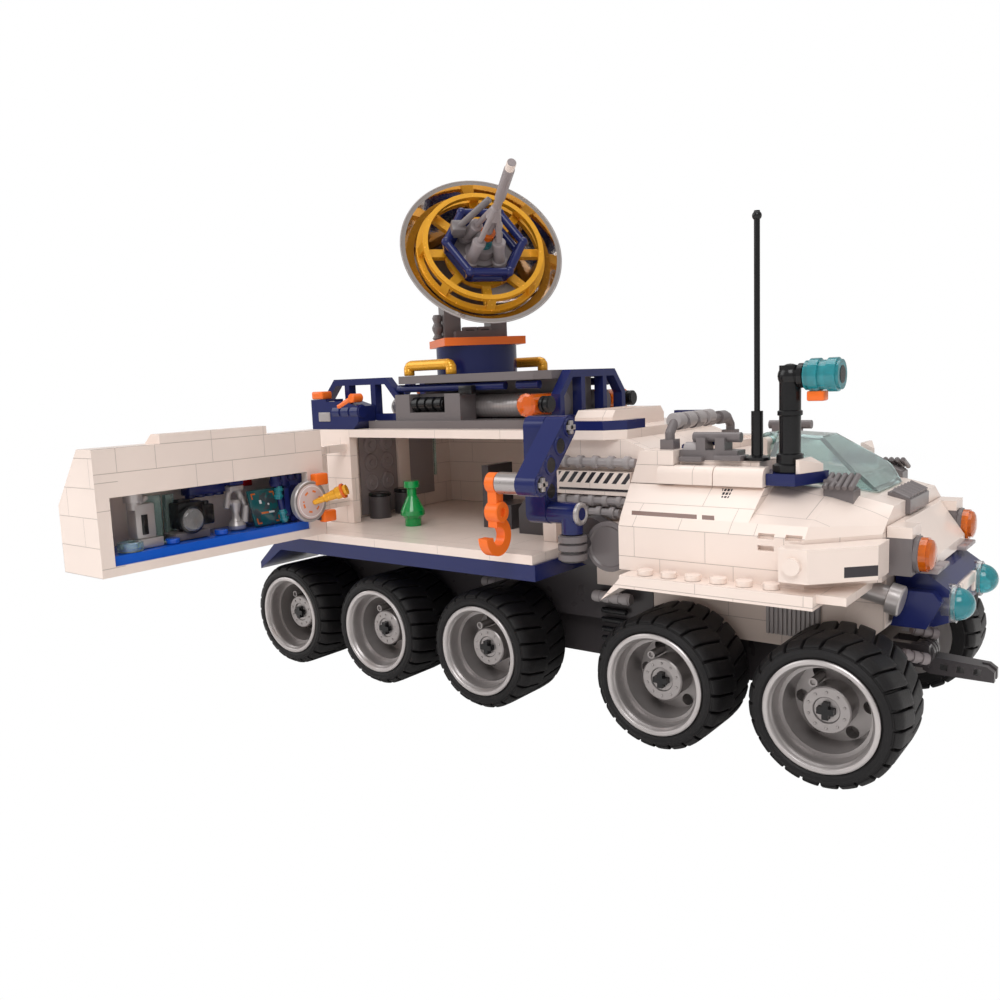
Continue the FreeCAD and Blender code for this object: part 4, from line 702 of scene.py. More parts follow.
class RoverFinishes(bpy.types.Operator):
    """Give every piece of the frame its finish"""
    bl_idname = "rover.finishes"
    bl_label = "Frame finishes"

    def execute(self, context):
        tints = context.scene.rover_colours
        for name, setting, rough, nodes in PLAIN_FINISHES:
            material = moulded(name, getattr(tints, setting), rough)
            for node in nodes:
                paint(node, material)
        white, mark = tints.white, tints.mark
        brown = (0.20, 0.12, 0.10)      # stripe on the shoulder's slope
        whites = {
            "cabin_walls": moulded("white_cabin", white, 0.2, wall_joints(foot=HULL_FOOT)),
            "left_wall": moulded("white_left_side", white, 0.2, wall_joints(4 * STUD_PITCH, foot=HULL_FOOT)),
            "door_panel": moulded("white_door", white, 0.2, door_joints),
            "floor_tiles": moulded("white_ledge", white, 0.16, slab_joints((-88, -56, -24, 0), (-56, 56))),
            "roof_plate": moulded("white_roof", white, 0.18, slab_joints((-92, -44, -12, 20), (-24, 24))),
            # the lower hull's white is made darker by 0.9: painted shade on the low walls under the sills
            "lower_hull": moulded("white_floor", shade(white, 0.9), 0.25, wall_joints(6 * STUD_PITCH)),
            "fenders": moulded("white_fenders", white, 0.18,
                               wall_joints(4 * STUD_PITCH, PLATE, 0.5 * MM, 56 * MM)),
            "hood_tiles": moulded("white_hood", white, 0.14, slab_joints((65.5,))),
            "mid_hull": moulded("white_middle", white, 0.2, wall_joints(foot=HULL_FOOT, start_x=6 * MM),
                                ((hazard_stripes, mark), (hazard_bar, mark))),
            "shoulder": moulded("white_front", white, 0.18,
                                wall_joints(3 * STUD_PITCH, BRICK, 4 * MM, 60.4 * MM),
                                ((slope_stripe, brown), (slope_squares, mark))),
            "nose": moulded("white_nose", white, 0.18, None, ((nose_marks, mark),)),
        }
        for node, material in whites.items():
            paint(node, material)
        paint("tanks", metallised("silver_tanks", shade(tints.silver, 1.3), 0.55, 0.2, tank_rings))
        paint("arm_pin", metallised("silver_pin", tints.silver, 0.8, 0.25))
        for node in ("spoked_frame", "handles"):
            paint(node, metallised("gold_" + node, tints.gold, 0.35, 0.22))
        paint("reflector", metallised("mirror_dish", tints.mirror, 1.0, 0.04))
        paint("canopy", clear_plastic("teal_canopy", tints.canopy, 0.93))
        paint("blue_lights", clear_plastic("teal_blue_lights", tints.teal, 0.6))
        paint("orange_lamps", clear_plastic("orange_glass", tints.lamp, 0.45))
        paint("flask", clear_plastic("green_glass", tints.green, 0.45))
        clear_plastic("clear_glass", (0.86, 0.84, 0.84), 0.92)
        clear_plastic("pale_teal_glass", (0.62, 0.84, 0.80), 0.85)
        moulded("red_plastic", (0.33, 0.01, 0.012), 0.25)
        moulded("white_plastic", white, 0.2)
        metallised("silver_parts", tints.silver, 0.45, 0.26)
        rim = metallised("rim_satin", shade(tints.silver, 0.85), 0.6, 0.3)
        tread = rubber("tyre_rubber", tints.rubber)
        for number in WHEELSETS:
            paint("rims_%d" % number, rim)
            paint("tyres_%d" % number, tread)
        return {"FINISHED"}


# ---------------------------------------------------------------- tyres and rims
LUGS = 24                   # lugs in each of the two rows of a tyre
LUG_LEAN = 0.20             # how far a lug leans round the tyre, against its length
TYRE_WIDE = 28 * MM
BORE_R = 14.9 * MM          # radius of the tyre's inner edges
SEAT_R = 16.35 * MM         # radius of the tyre's bead on the rim
HUB_BOLTS = 10
HUB_DEPTH = 7 * MM          # from the rim's edge to the face of its hub
WEB_DEPTH = 15 * MM         # from the rim's edge to its web


def spun(outline, steps=72):
    """Closed outline of (radius, y) corners, spun about the Y axis."""
    start()
    bpy.ops.mesh.primitive_circle_add(vertices=len(outline), radius=MM, location=(0, 0, 0))
    piece = bpy.context.object
    for corner, (radius, y) in zip(piece.data.vertices, outline):
        corner.co = (0, y, radius)
    edit(piece)
    bpy.ops.mesh.spin(steps=steps, angle=math.tau, center=(0, 0, 0), axis=(0, 1, 0))
    bpy.ops.mesh.select_all(action="SELECT")
    bpy.ops.mesh.remove_doubles(threshold=0.01 * MM)
    bpy.ops.mesh.normals_make_consistent(inside=False)
    return done(piece)


def lug(outer, depth, reach, width):
    """One chunky lug of the right-hand row: over the tread and bent down over the tyre's shoulder."""
    block = cube((-0.5 * width, -reach, outer - 2.4 * depth), (0.5 * width, 0.9 * MM, outer))
    edit(block)
    bpy.ops.mesh.subdivide(number_cuts=5)
    done(block)
    bend, drop = 3.2 * MM, 1.5 * MM
    for point in block.data.vertices:
        out = max(0.0, -point.co.y - reach + bend) / bend
        point.co.z -= drop * out ** 2
        slant = (point.co.y + reach) / reach
        point.co.x = point.co.x * (1 - 0.10 * out) + LUG_LEAN * reach * slant
        point.co.z -= point.co.x ** 2 / (2 * outer)

    def on_rim(point):
        """True for the corners round the lug's top."""
        slant = LUG_LEAN * (point.y + reach)
        side = abs(abs(point.x - slant) - 0.5 * width) < 0.08 * width
        end = point.y > 0.8 * MM or point.y < 0.02 * MM - reach
        return point.z > outer - bend and (side or end)

    return rounded(block, 0.35, 2, edges=lambda first, second: on_rim(first) and on_rim(second))


def axle_ends(model, hub):
    """Copies of a wheel's piece at both ends of its axle."""
    place = at(hub.x, 0, hub.z)
    return [copy(model, place), copy(model, place @ mirror_y())]


class RoverTyres(bpy.types.Operator):
    """Spin the balloon tyres and set two rows of lugs on each"""
    bl_idname = "rover.tyres"
    bl_label = "Tyres"

    def execute(self, context):
        tread = context.scene.rover_sizes.tread
        lo, hi = low("tyres_1"), high("tyres_1")
        outer, out = (hi.z - lo.z) / 2 - 0.05 * MM, hi.y
        carcass, inner = outer - tread, out - TYRE_WIDE
        profile = [(BORE_R, inner), (18.6 * MM, inner + 0.2 * MM),
                   (carcass - 0.9 * MM, inner + 1.2 * MM), (carcass, inner + 3.4 * MM),
                   (carcass + 0.1 * MM, (inner + out) / 2), (carcass, out - 3.4 * MM),
                   (carcass - 0.5 * MM, out - 1.5 * MM), (19.2 * MM, out - 0.5 * MM), (18.2 * MM, out),
                   (17.2 * MM, out - 0.1 * MM), (SEAT_R, out - 0.8 * MM), (SEAT_R, out - 2.1 * MM),
                   (BORE_R, out - 2.1 * MM)]
        model = spun(profile)
        one = lug(outer, tread, TYRE_WIDE / 2 - 0.7 * MM, math.tau * outer / LUGS * 0.86)
        row = copies(one, [about_y(360 / LUGS * i) for i in range(LUGS)])
        other = copy(row, about_y(180 / LUGS) @ mirror_y())
        lugs = joined([row, other])
        lugs.data.transform(at(0, (inner + out) / 2, 0))
        tyre = joined([model, lugs])
        for number in WHEELSETS:
            pair = axle_ends(tyre, middle("tyres_%d" % number))
            piece = finished(pair, "tyre_pair_%d" % number, "wheelset_%d" % number, "tyre_rubber", 32)
            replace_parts(piece, "tyres_%d" % number)
        bpy.data.objects.remove(tyre)
        return {"FINISHED"}


class RoverRims(bpy.types.Operator):
    """Turn the machined lips of the rims and set the small bolts round their hubs"""
    bl_idname = "rover.rims"
    bl_label = "Rim lips and hub bolts"

    def execute(self, context):
        face = high("rims_1").y
        lip = self.ring(face, [(16.25, -0.6), (16.25, 0.1), (15.9, 0.35), (15.0, 0.3), (14.75, 0.05),
                               (14.5, -0.6), (15.3, -0.6)], 72)
        hub_face = face + 0.3 * MM - HUB_DEPTH
        collar = self.ring(hub_face, [(6.9, -1), (6.9, 0.15), (6.5, 0.5), (3.9, 0.5), (3.6, 0.1),
                                      (3.6, -1)], 48)
        bolt_r = 5.3 * MM
        bolt = bar((0, hub_face + 0.3 * MM, bolt_r), (0, hub_face + 0.85 * MM, bolt_r), 0.42, 8)
        bolt = rounded(bolt, 0.12, 1, faces=lambda place, normal: normal.y > 0.9)
        bolts = copies(bolt, [about_y(360 / HUB_BOLTS * i) for i in range(HUB_BOLTS)])
        pin_foot, pin_r = face + 0.3 * MM - WEB_DEPTH, 8.3 * MM
        pin = bar((0, pin_foot, pin_r), (0, pin_foot + 7.6 * MM, pin_r), 1.3, 16)
        pin = sunk(pin, lambda place, normal: normal.y > 0.9, 0.45, 0.8)
        pin.data.transform(about_y(-30))
        metallised("rim_machined", context.scene.rover_colours.rim, 0.6, 0.3)
        hub_parts = joined([collar, bolts, pin])
        for number in WHEELSETS:
            hub, body = middle("rims_%d" % number), "wheelset_%d" % number
            finished(axle_ends(lip, hub), "rim_lips_%d" % number, body, "rim_machined")
            finished(axle_ends(hub_parts, hub), "hub_bolts_%d" % number, body, "rim_satin")
        for model in (lip, hub_parts):
            bpy.data.objects.remove(model)
        return {"FINISHED"}

    def ring(self, face, outline, steps):
        """Ring from (radius, distance out from a face) corners in mm."""
        return spun([(radius * MM, face + out * MM) for radius, out in outline], steps)


# ---------------------------------------------------------------- tools on the door's shelf
def shelf(back, along, up):
    """Point on the door's shelf, in mm: behind its edge, from its free end, above its top."""
    return Vector((high("door_shelf").x - back * MM, low("door_shelf").y + along * MM,
                   high("door_shelf").z + up * MM + CLEAR))


def shelf_brick(back, along, up, edge=0.3):
    """Block on the shelf between two distances each way."""
    return brick(shelf(back[1], along[0], up[0]), shelf(back[0], along[1], up[1]), edge)


def leaning(piece, shift, still_z, moved_z):
    """Lean a piece along the door: nothing at still_z, the full shift at moved_z."""
    for point in piece.data.vertices:
        point.co.y += shift * (point.co.z - still_z) / (moved_z - still_z)
    return piece


class RoverDoorTools(bpy.types.Operator):
    """Set the silver tower, the camera, the lever and the panels on the door's shelf"""
    bl_idname = "rover.door_tools"
    bl_label = "Tools on the door"

    def execute(self, context):
        base = shelf_brick((3.4, 10.6), (11.2, 20.6), (0, 3.2))
        body = shelf_brick((4.2, 9.8), (11.4, 18.6), (3.2, 15.0), 0.5)
        neck = lathe([(2.4, 0), (2.4, 2.4), (3.0, 2.5), (3.2, 2.9), (3.2, 5.5), (2.8, 5.8), (3.2, 6.1),
                      (3.2, 7.2), (2.8, 7.6)], shelf(6.6, 12.4, 13.2), UP, 28)
        top = stud(shelf(6.6, 12.4, 20.7))
        lever = rod(shelf(5.4, 13.6, 15.2), shelf(5.4, 16.8, 17.0), 0.8)
        finished([base, body, neck, top, lever], "door_tower", "side_door", "silver_parts")
        slot = shelf_brick((3.9, 5.0), (13.4, 15.6), (4.6, 11.4), 0.1)
        finished([slot], "door_tower_slot", "side_door", "black_plastic")
        glass = lathe([(3.0, 0), (4.2, 0.1), (4.2, 2.9), (3.9, 3.2), (3.2, 3.2), (3.0, 1.2)],
                      shelf(3.9, 8.4, 0), UP, 32)
        panel = shelf_brick((13.6, 14.8), (19.2, 27.0), (0.4, 16.2), 0.25)
        column = shelf_brick((13.0, 15.6), (28.4, 31.8), (0.4, 16.0), 0.4)
        fold = shelf_brick((4.6, 13.4), (21.0, 27.4), (0.2, 1.2), 0.2)
        finished([panel, column, fold, glass], "door_glass_panels", "side_door", "pale_teal_glass")
        studs = [stud(shelf(3.9, 8.4, 0.2), height=1.9), stud(shelf(4.6, 24.6, 0)), stud(shelf(4.6, 44.4, 0))]
        finished(studs, "door_shelf_studs", "side_door", "blue_plastic")
        seat = shelf_brick((5.2, 12.6), (26.4, 40.2), (0, 2.9), 0.4)
        seat = resized(seat, lambda place, normal: normal.z > 0.9, (0.9, 0.75, 1))
        post = rod(shelf(8.6, 33.4, 2.4), shelf(8.6, 33.4, 5.4), 1.9)
        finished([seat, post], "door_camera_foot", "side_door", "grey_plastic")
        case = shelf_brick((5.4, 11.8), (28.2, 38.6), (3.8, 13.2), 0.8)
        grip = shelf_brick((6.2, 10.6), (38.0, 43.4), (4.2, 11.4), 0.6)
        ridge = shelf_brick((6.8, 10.2), (29.4, 34.2), (12.8, 14.2), 0.3)
        knob = rod(shelf(8.2, 41.0, 11.0), shelf(8.2, 41.0, 12.6), 1.3)
        along, up = 31.9, 7.2       # middle line of the camera's lens
        tube = lathe([(4.0, 0), (4.4, 0.2), (4.4, 1.6), (4.9, 1.9), (4.9, 2.9), (4.3, 3.2), (3.6, 2.3)],
                     shelf(5.6, along, up), AHEAD, 32)
        dark = rod(shelf(4.4, along, up), shelf(3.1, along, up), 3.9, 0.1, 32)
        finished([case, grip, ridge, knob, tube, dark], "door_camera", "side_door", "black_plastic")
        lens = lathe([(4.2, 0), (4.2, 0.3), (3.9, 1.0), (3.1, 1.7), (1.9, 2.1), (0.6, 2.3)],
                     shelf(3.0, along, up), AHEAD, 32)
        finished([lens], "door_camera_lens", "side_door", "clear_glass")
        beam = shelf_brick((9.0, 14.6), (35.6, 51.4), (14.6, 18.4), 0.5)
        knots = [rod(shelf(11.8, 37.6 + 4.0 * i, 13.6), shelf(11.8, 37.6 + 4.0 * i, 18.6), 1.9)
                 for i in range(4)]
        finished([beam] + knots, "door_navy_connector", "side_door", "navy_plastic")
        self.lever()
        strip = shelf_brick((15.0, 17.6), (57.6, 67.4), (14.8, 17.4), 0.3)
        finished([strip], "door_red_strip", "side_door", "red_plastic")
        return {"FINISHED"}

    def lever(self):
        """Silver joint with an eye at its top and a ball at its foot, under a navy cap."""
        eye = hoop(shelf(7.6, 53.0, 12.4), AHEAD, 2.7, 1.05, 32, 12)
        waist = lathe([(1.7, 0), (2.2, 0.4), (1.5, 1.6), (1.2, 3.2), (1.9, 5.6), (2.4, 7.4), (1.8, 8.6)],
                      shelf(7.6, 53.4, 2.8), UP, 24)
        foot = lathe([(2.2, 0), (3.0, 0.5), (3.3, 1.8), (2.6, 3.2), (1.4, 3.7)], shelf(7.6, 53.6, 0), UP, 24)
        arms = [rod(shelf(7.6, 50.8, 14.2), shelf(7.6, 49.4, 8.4), 1.1),
                rod(shelf(7.6, 55.4, 14.2), shelf(7.6, 57.6, 8.6), 1.1),
                rod(shelf(6.6, 57.4, 8.8), shelf(6.6, 56.2, 2.4), 1.3)]
        jaw = brick(shelf(9.4, 50.4, 14.6), shelf(5.8, 56.6, 16.6), 0.5)
        finished([eye, waist, foot, jaw] + arms, "door_lever", "side_door", "silver_parts")
        cap = brick(shelf(9.8, 50.2, 16.8), shelf(5.4, 56.4, 18.8), 0.6)
        finished([cap], "door_lever_cap", "side_door", "navy_plastic")


SCREEN_Y = (56.4, 69.0)     # mm along the shelf: ends of the screen
SCREEN_Z = (0.3, 14.2)      # mm above the shelf: its foot and top


class RoverDoorScreen(bpy.types.Operator):
    """Set the tilted screen on its navy frame, and the round device with its nozzle"""
    bl_idname = "rover.door_screen"
    bl_label = "Screen and round device"

    def execute(self, context):
        foot, top = SCREEN_Z
        plate = brick(shelf(5.0, SCREEN_Y[0], foot), shelf(3.8, SCREEN_Y[1], top))
        plate = leaning(plate, 3.0 * MM, shelf(0, 0, top).z, shelf(0, 0, foot).z)
        self.screen()
        finished([plate], "door_screen", "side_door", "screen_glass")
        hinge = [ribbed(shelf(3.2, 70.0, 9.6), shelf(3.2, 70.4, 14.6), 1.9, 2, 0.4),
                 ribbed(shelf(3.2, 72.2, 0.6), shelf(3.2, 71.4, 5.6), 1.9, 2, 0.4)]
        finished(hinge, "door_screen_hinge", "side_door", "teal_blue_lights")
        post = rod(shelf(3.2, 72.4, 0.2), shelf(3.2, 69.8, 16.6), 1.3)
        window = brick(shelf(4.6, 72.6, 1.0), shelf(2.2, 80.6, 15.6), 0.8)
        window = sunk(window, lambda place, normal: normal.x > 0.9, 1.2, 0.8)
        knobs = [rod(shelf(4.0, 69.4 + 3.6 * i, 14.4), shelf(4.0, 69.8 + 3.6 * i, 18.4), 1.9)
                 for i in range(4)]
        bar_top = brick(shelf(5.8, 68.0, 15.2), shelf(2.4, 82.6, 17.2), 0.5)
        finished([post, window, bar_top] + knobs, "door_navy_frame", "side_door", "navy_plastic")
        centre = Vector((high("door_panel").x, high("door_shelf").y, high("door_shelf").z)) + mm(2, -3, 8.2)
        disc = lathe([(7.1, 0), (7.9, 0.2), (8.0, 0.7), (8.0, 2.4), (7.7, 2.9), (7.0, 2.9), (6.8, 2.5)],
                     centre, AHEAD, 48)
        finished([disc], "door_disc_rim", "side_door", "silver_parts")
        face = lathe([(6.8, 0), (6.8, 0.35), (6.3, 0.6), (2.6, 0.8)], centre + mm(2.5, 0, 0), AHEAD, 48)
        self.dial(centre)
        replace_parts(finished([face], "door_disc_face", "side_door", "dial_face"), "door_gear")
        aim = Vector((0.85, 0.5, 0.36)).normalized()
        foot = centre + mm(3.4, 0.6, -0.6)
        nozzle = lathe([(0.7, 0), (1.0, 0.4), (1.3, 4.6), (1.7, 5.0), (1.5, 5.4), (2.0, 9.6), (2.4, 10.0),
                        (2.5, 12.6), (2.1, 13.0), (2.0, 14.4), (1.2, 14.4), (1.1, 11.0)], foot, aim, 24)
        finished([nozzle], "door_nozzle", "side_door", "gold_handles")
        tip = foot + aim * 12.2 * MM
        ring = lathe([(2.6, 0), (3.0, 0.2), (3.0, 1.0), (2.6, 1.2)], tip, aim, 24, ring=True)
        finished([ring], "door_nozzle_ring", "side_door", "orange_glass")
        half = mm(1.9, 3.1, 2.3)        # from a clip's middle to its corner
        clips = [brick(centre + mm(1.6, along, up) - half, centre + mm(1.6, along, up) + half, 0.7)
                 for along, up in ((5.8, 8.0), (9.0, -6.8))]
        finished(clips, "door_orange_clips", "side_door", "orange_plastic")
        prongs = [rod(centre + mm(0.4, 4.0, -7.0), centre + mm(1.0, 9.6, -8.4), 0.9),
                  rod(centre + mm(0.2, 5.0, 5.4), centre + mm(0.2, 6.6, -5.6), 1.2)]
        finished(prongs, "door_device_prongs", "side_door", "dark_plastic")
        return {"FINISHED"}

    def screen(self):
        """Dark teal glass with orange corner marks, a short bar and a few white dots."""
        finish = Finish("screen_glass")
        where, top = shelf(0, SCREEN_Y[0], 0), SCREEN_Z[1]
        lean = (shelf(0, 0, top).z - finish.z) * 0.22
        along = (finish.y - where.y - lean) / ((SCREEN_Y[1] - SCREEN_Y[0]) * MM)
        up = (finish.z - where.z) / (top * MM)
        edge_y, edge_z = abs(along - 0.5), abs(up - 0.5)
        near = edge_y.within(0.26, 0.42) * edge_z.within(0.26, 0.42)
        inner = (edge_y < 0.38) * (edge_z < 0.38)
        corners = near * (1 - inner)
        bar_mark = along.within(0.30, 0.56) * up.within(0.34, 0.39)
        light = along.within(0.58, 0.78) * up.within(0.34, 0.39)
        dots = along.within(0.32, 0.40) * up.within(0.62, 0.72)
        dots = dots.either(along.within(0.60, 0.66) * up.within(0.56, 0.61))
        cloud = finish.noise(260, 3)
        base = finish.mix(cloud.within(0.55, 0.9), (0.012, 0.11, 0.12), (0.05, 0.07, 0.08))
        base = finish.mix(corners.either(bar_mark), base, (0.75, 0.16, 0.02))
        base = finish.mix(light.either(dots), base, (0.8, 0.8, 0.8))
        finish.set(base=base, rough=cloud * 0.05 + 0.07, clear=0.25, ior=1.5)
        finish.bump(cloud, 0.05 * MM)

    def dial(self, centre):
        """Pale pink-grey disc with a few short orange strokes round its middle."""
        finish = Finish("dial_face")
        y, z = finish.y - centre.y, finish.z - centre.z
        reach = (y * y + z * z).maths("SQRT")
        turn = z.maths("ARCTAN2", y)
        strokes = band(reach, 3.6, 4.4) * (turn.fraction() < 0.42)
        ring = band(reach, 5.8, 6.1)
        cloud = finish.noise(80, 2)
        base = finish.mix(cloud, (0.58, 0.44, 0.42), (0.66, 0.51, 0.49))
        base = finish.mix(ring, base, (0.80, 0.76, 0.75))
        base = finish.mix(strokes, base, (0.72, 0.19, 0.05))
        finish.set(base=base, rough=cloud * 0.1 + 0.15)
        finish.bump(cloud, 0.05 * MM)


# ---------------------------------------------------------------- dish and roof
DISH_LIFT = 25.5            # degrees that the dish looks up at rest
DISH_BACK = 23.05           # mm from the tilt joint to the back of the reflector


def dish_place():
    """Frame of the dish: origin on its tilt joint, X out along its middle, Y across."""
    across_axis = -joint_axis("dish_tilt")
    lift = math.radians(DISH_LIFT)
    out = Vector((across_axis.y, -across_axis.x, 0)) * math.cos(lift) + Vector((0, 0, math.sin(lift)))
    turn = Matrix((out, across_axis, out.cross(across_axis))).transposed().to_4x4()
    return Matrix.Translation(joint_place("dish_tilt")) @ turn


def roof(x, y, z):
    """Point in mm from the middle of the roof deck's front edge, up from its top."""
    return spot("deck", "hmh") + mm(x, y, z)


class RoverDish(bpy.types.Operator):
    """Set the small pieces on the dish, the windows and column on its turret, and the grab handles"""
    bl_idname = "rover.dish"
    bl_label = "Dish"

    def execute(self, context):
        place, back = dish_place(), DISH_BACK

        def set_on_dish(pieces, name, finish):
            finished(set_at(pieces, place), name, "dish", finish)

        set_on_dish([hoop(mm(back + 2.0, 0, 0), AHEAD, 32.8, 0.32, 96, 10)], "dish_rim_ring",
                    "silver_parts")
        hub = [lathe([(6.4, 0), (6.9, 0.3), (6.9, 1.3), (6.2, 1.8), (4.4, 2.0), (4.2, 3.4), (3.2, 3.8)],
                     mm(back + 0.1, 0, 0), AHEAD, 40)]
        cups = [lathe([(1.9, 0), (2.9, 0.6), (2.3, 2.6), (1.8, 5.6), (2.0, 6.0), (1.7, 6.6)],
                      mm(46.4, 0, 0), AHEAD, 28),
                rod(mm(58, 0, 0), mm(74.6, 0, 0), 2.0)]
        block = brick(mm(back + 6.6, -13.6, 2.2), mm(back + 12.4, -8.0, 7.0), 0.6)
        arm = rod(mm(back + 11, -10.6, 4.6), mm(back + 27, -1.4, 5.6), 1.3)
        sleeves, clips = [], []
        for turn in (45, 135, 225, 315):
            side = Vector((0, math.cos(math.radians(turn)), math.sin(math.radians(turn))))
            foot, tip = mm(back - 1, 0, 0) + side * 9.6 * MM, mm(55.1, 0, 0)
            path = tip - foot
            sleeves.append(lathe([(2.3, 0), (2.7, 0.3), (2.7, 1.6), (2.45, 1.9)], foot + path * 0.38, path,
                                 24))
            clips.append(lathe([(2.4, 0), (3.1, 0.3), (3.1, 2.6), (2.4, 2.9)], foot + path * 0.07, path, 24))
        set_on_dish(hub + cups + sleeves + clips, "dish_hub_and_sleeves", "hub_plastic")
        set_on_dish([block, arm], "dish_lever", "grey_plastic")
        set_on_dish([lathe([(2.0, 0), (2.9, 0.3), (2.9, 2.6), (2.0, 3.0)], mm(34.6, 0, 0), AHEAD, 28)],
                    "dish_orange_ring", "orange_glass")
        set_on_dish([lathe([(2.0, 0), (3.0, 0.3), (3.0, 2.6), (2.0, 3.0)], mm(29.2, 0, 0), AHEAD, 28)],
                    "dish_teal_ring", "teal_blue_lights")
        set_on_dish([rod(mm(74.4, 0, 0), mm(78.0, 0, 0), 1.75)], "dish_needle_tip", "white_plastic")
        self.turret()
        self.handles()
        return {"FINISHED"}

    def turret(self):
        """Two dark-paned window bricks and a ball column on the plate."""
        axis, plate_z = joint_place("turret_slew"), high("turret_plate").z
        tilt = joint_axis("dish_tilt")
        turn = math.atan2(tilt.x, -tilt.y)
        place = at(axis.x, axis.y, plate_z + CLEAR) @ Matrix.Rotation(turn, 4, "Z")
        windows, panes = [], []
        for i in range(2):
            windows.append(brick(mm(2.2, -6.6 + 6.4 * i, 0), mm(5.4, -0.5 + 6.4 * i, 4.6)))
            panes.append(brick(mm(5.2, -5.4 + 6.4 * i, 1.2), mm(5.5, -1.7 + 6.4 * i, 3.4), 0.1))
        column = lathe([(2.0, 0), (2.4, 0.6), (1.5, 2.2), (2.3, 4.2), (2.4, 5.2), (1.5, 7.0), (2.2, 9.0),
                        (1.6, 10.4)], mm(-4.6, -15.4, 0), UP, 24)
        finished(set_at(panes, place), "turret_window_panes", "turret", "black_plastic")
        finished(set_at(windows + [column], place), "turret_windows", "turret", "grey_plastic")

    def handles(self):
        """Rounded grab handles on the deck."""
        lo, hi = low("handles"), high("handles")
        thick, long, bend, drop = 2.2, 27.4 * MM, mm(1.6, 0, 0), mm(0, 0, 1.2)
        radius = thick * MM
        deck_z, top = high("deck").z + CLEAR, hi.z - radius - 0.8 * MM
        made = []
        for x_from, x_to, y in ((lo.x, lo.x + long, lo.y + radius), (hi.x - long, hi.x, hi.y - radius)):
            rear, front = Vector((x_from + radius, y, top)), Vector((x_to - radius, y, top))
            made.append(bar(rear + bend, front - bend, thick))
            for end, inward in ((rear, bend), (front, -bend)):
                made += [rod((end.x, y, deck_z), (end.x, y, top - drop.z), thick), ball(end - drop, thick),
                         ball(end + inward * 0.4 - drop / 4, thick), ball(end + inward, thick)]
        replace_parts(finished(made, "grab_handles", "hull", "gold_handles", 60), "handles")


class RoverRoof(bpy.types.Operator):
    """Set the rear units' parts, the black drums, the studs and the lamps' holders along the roof"""
    bl_idname = "rover.roof"
    bl_label = "Roof"

    def execute(self, context):
        cylinder = rod(roof(-114.4, -34.6, -11.6), roof(-106.2, -34.6, -11.6), 2.3)
        foot = brick(roof(-113.6, -37.4, -18.0), roof(-106.4, -31.8, -14.0))
        finished(both_sides(cylinder, foot), "roof_grey_cylinders", "hull", "pipe_plastic")
        clips = brick(roof(-118.2, -36.6, -8.4), roof(-111.0, -31.0, -5.0), 0.6)
        levers = rod(roof(-101.6, -36.0, -12.0), roof(-91.0, -36.0, -7.6), 1.4)
        knobs = rod(roof(-92.0, -38.0, -8.2), roof(-92.0, -32.4, -8.2), 1.9)
        finished(both_sides(clips, levers, knobs), "roof_orange_levers", "hull", "orange_plastic")
        rounds = ribbed(roof(-105.4, -34.6, -14.0), roof(-88.6, -34.6, -14.0), 3.1, 3, 0.5, 0.8)
        finished(both_sides(rounds), "roof_navy_rounds", "hull", "navy_plastic")
        drums = [ribbed(roof(-66.0, -27.0, -11.6), roof(-49.0, -27.0, -11.6), 2.9, 4, 0.6, 0.7),
                 brick(roof(-39.6, -30.0, -8.0), roof(-33.0, -27.0, -4.6))]
        holders = ribbed(roof(0.4, -30.4, -12.4), roof(4.8, -30.4, -12.4), 3.1, 2, 0.5, 0.7)
        finished(both_sides(*drums, holders), "roof_black_parts", "hull", "black_plastic")
        studs = [stud(roof(x, -29.6, -21.3)) for x in (-79.6, -30.6, -22.6)]
        finished(both_sides(*studs), "roof_studs", "hull", "grey_plastic")
        facets = lathe([(4.3, 0), (4.3, 1.2), (3.4, 2.2), (1.8, 2.7)],
                       roof(-3.7, -33.6, -12.5), (0, -1, 0), 12)
        finished(both_sides(facets), "roof_lamp_facets", "hull", "orange_glass", 20)
        return {"FINISHED"}


# ---------------------------------------------------------------- arm
BEAM_STEP = 8.1 * MM        # from the boom's outer face in to the arm's
HOLE_R = 2.45               # mm


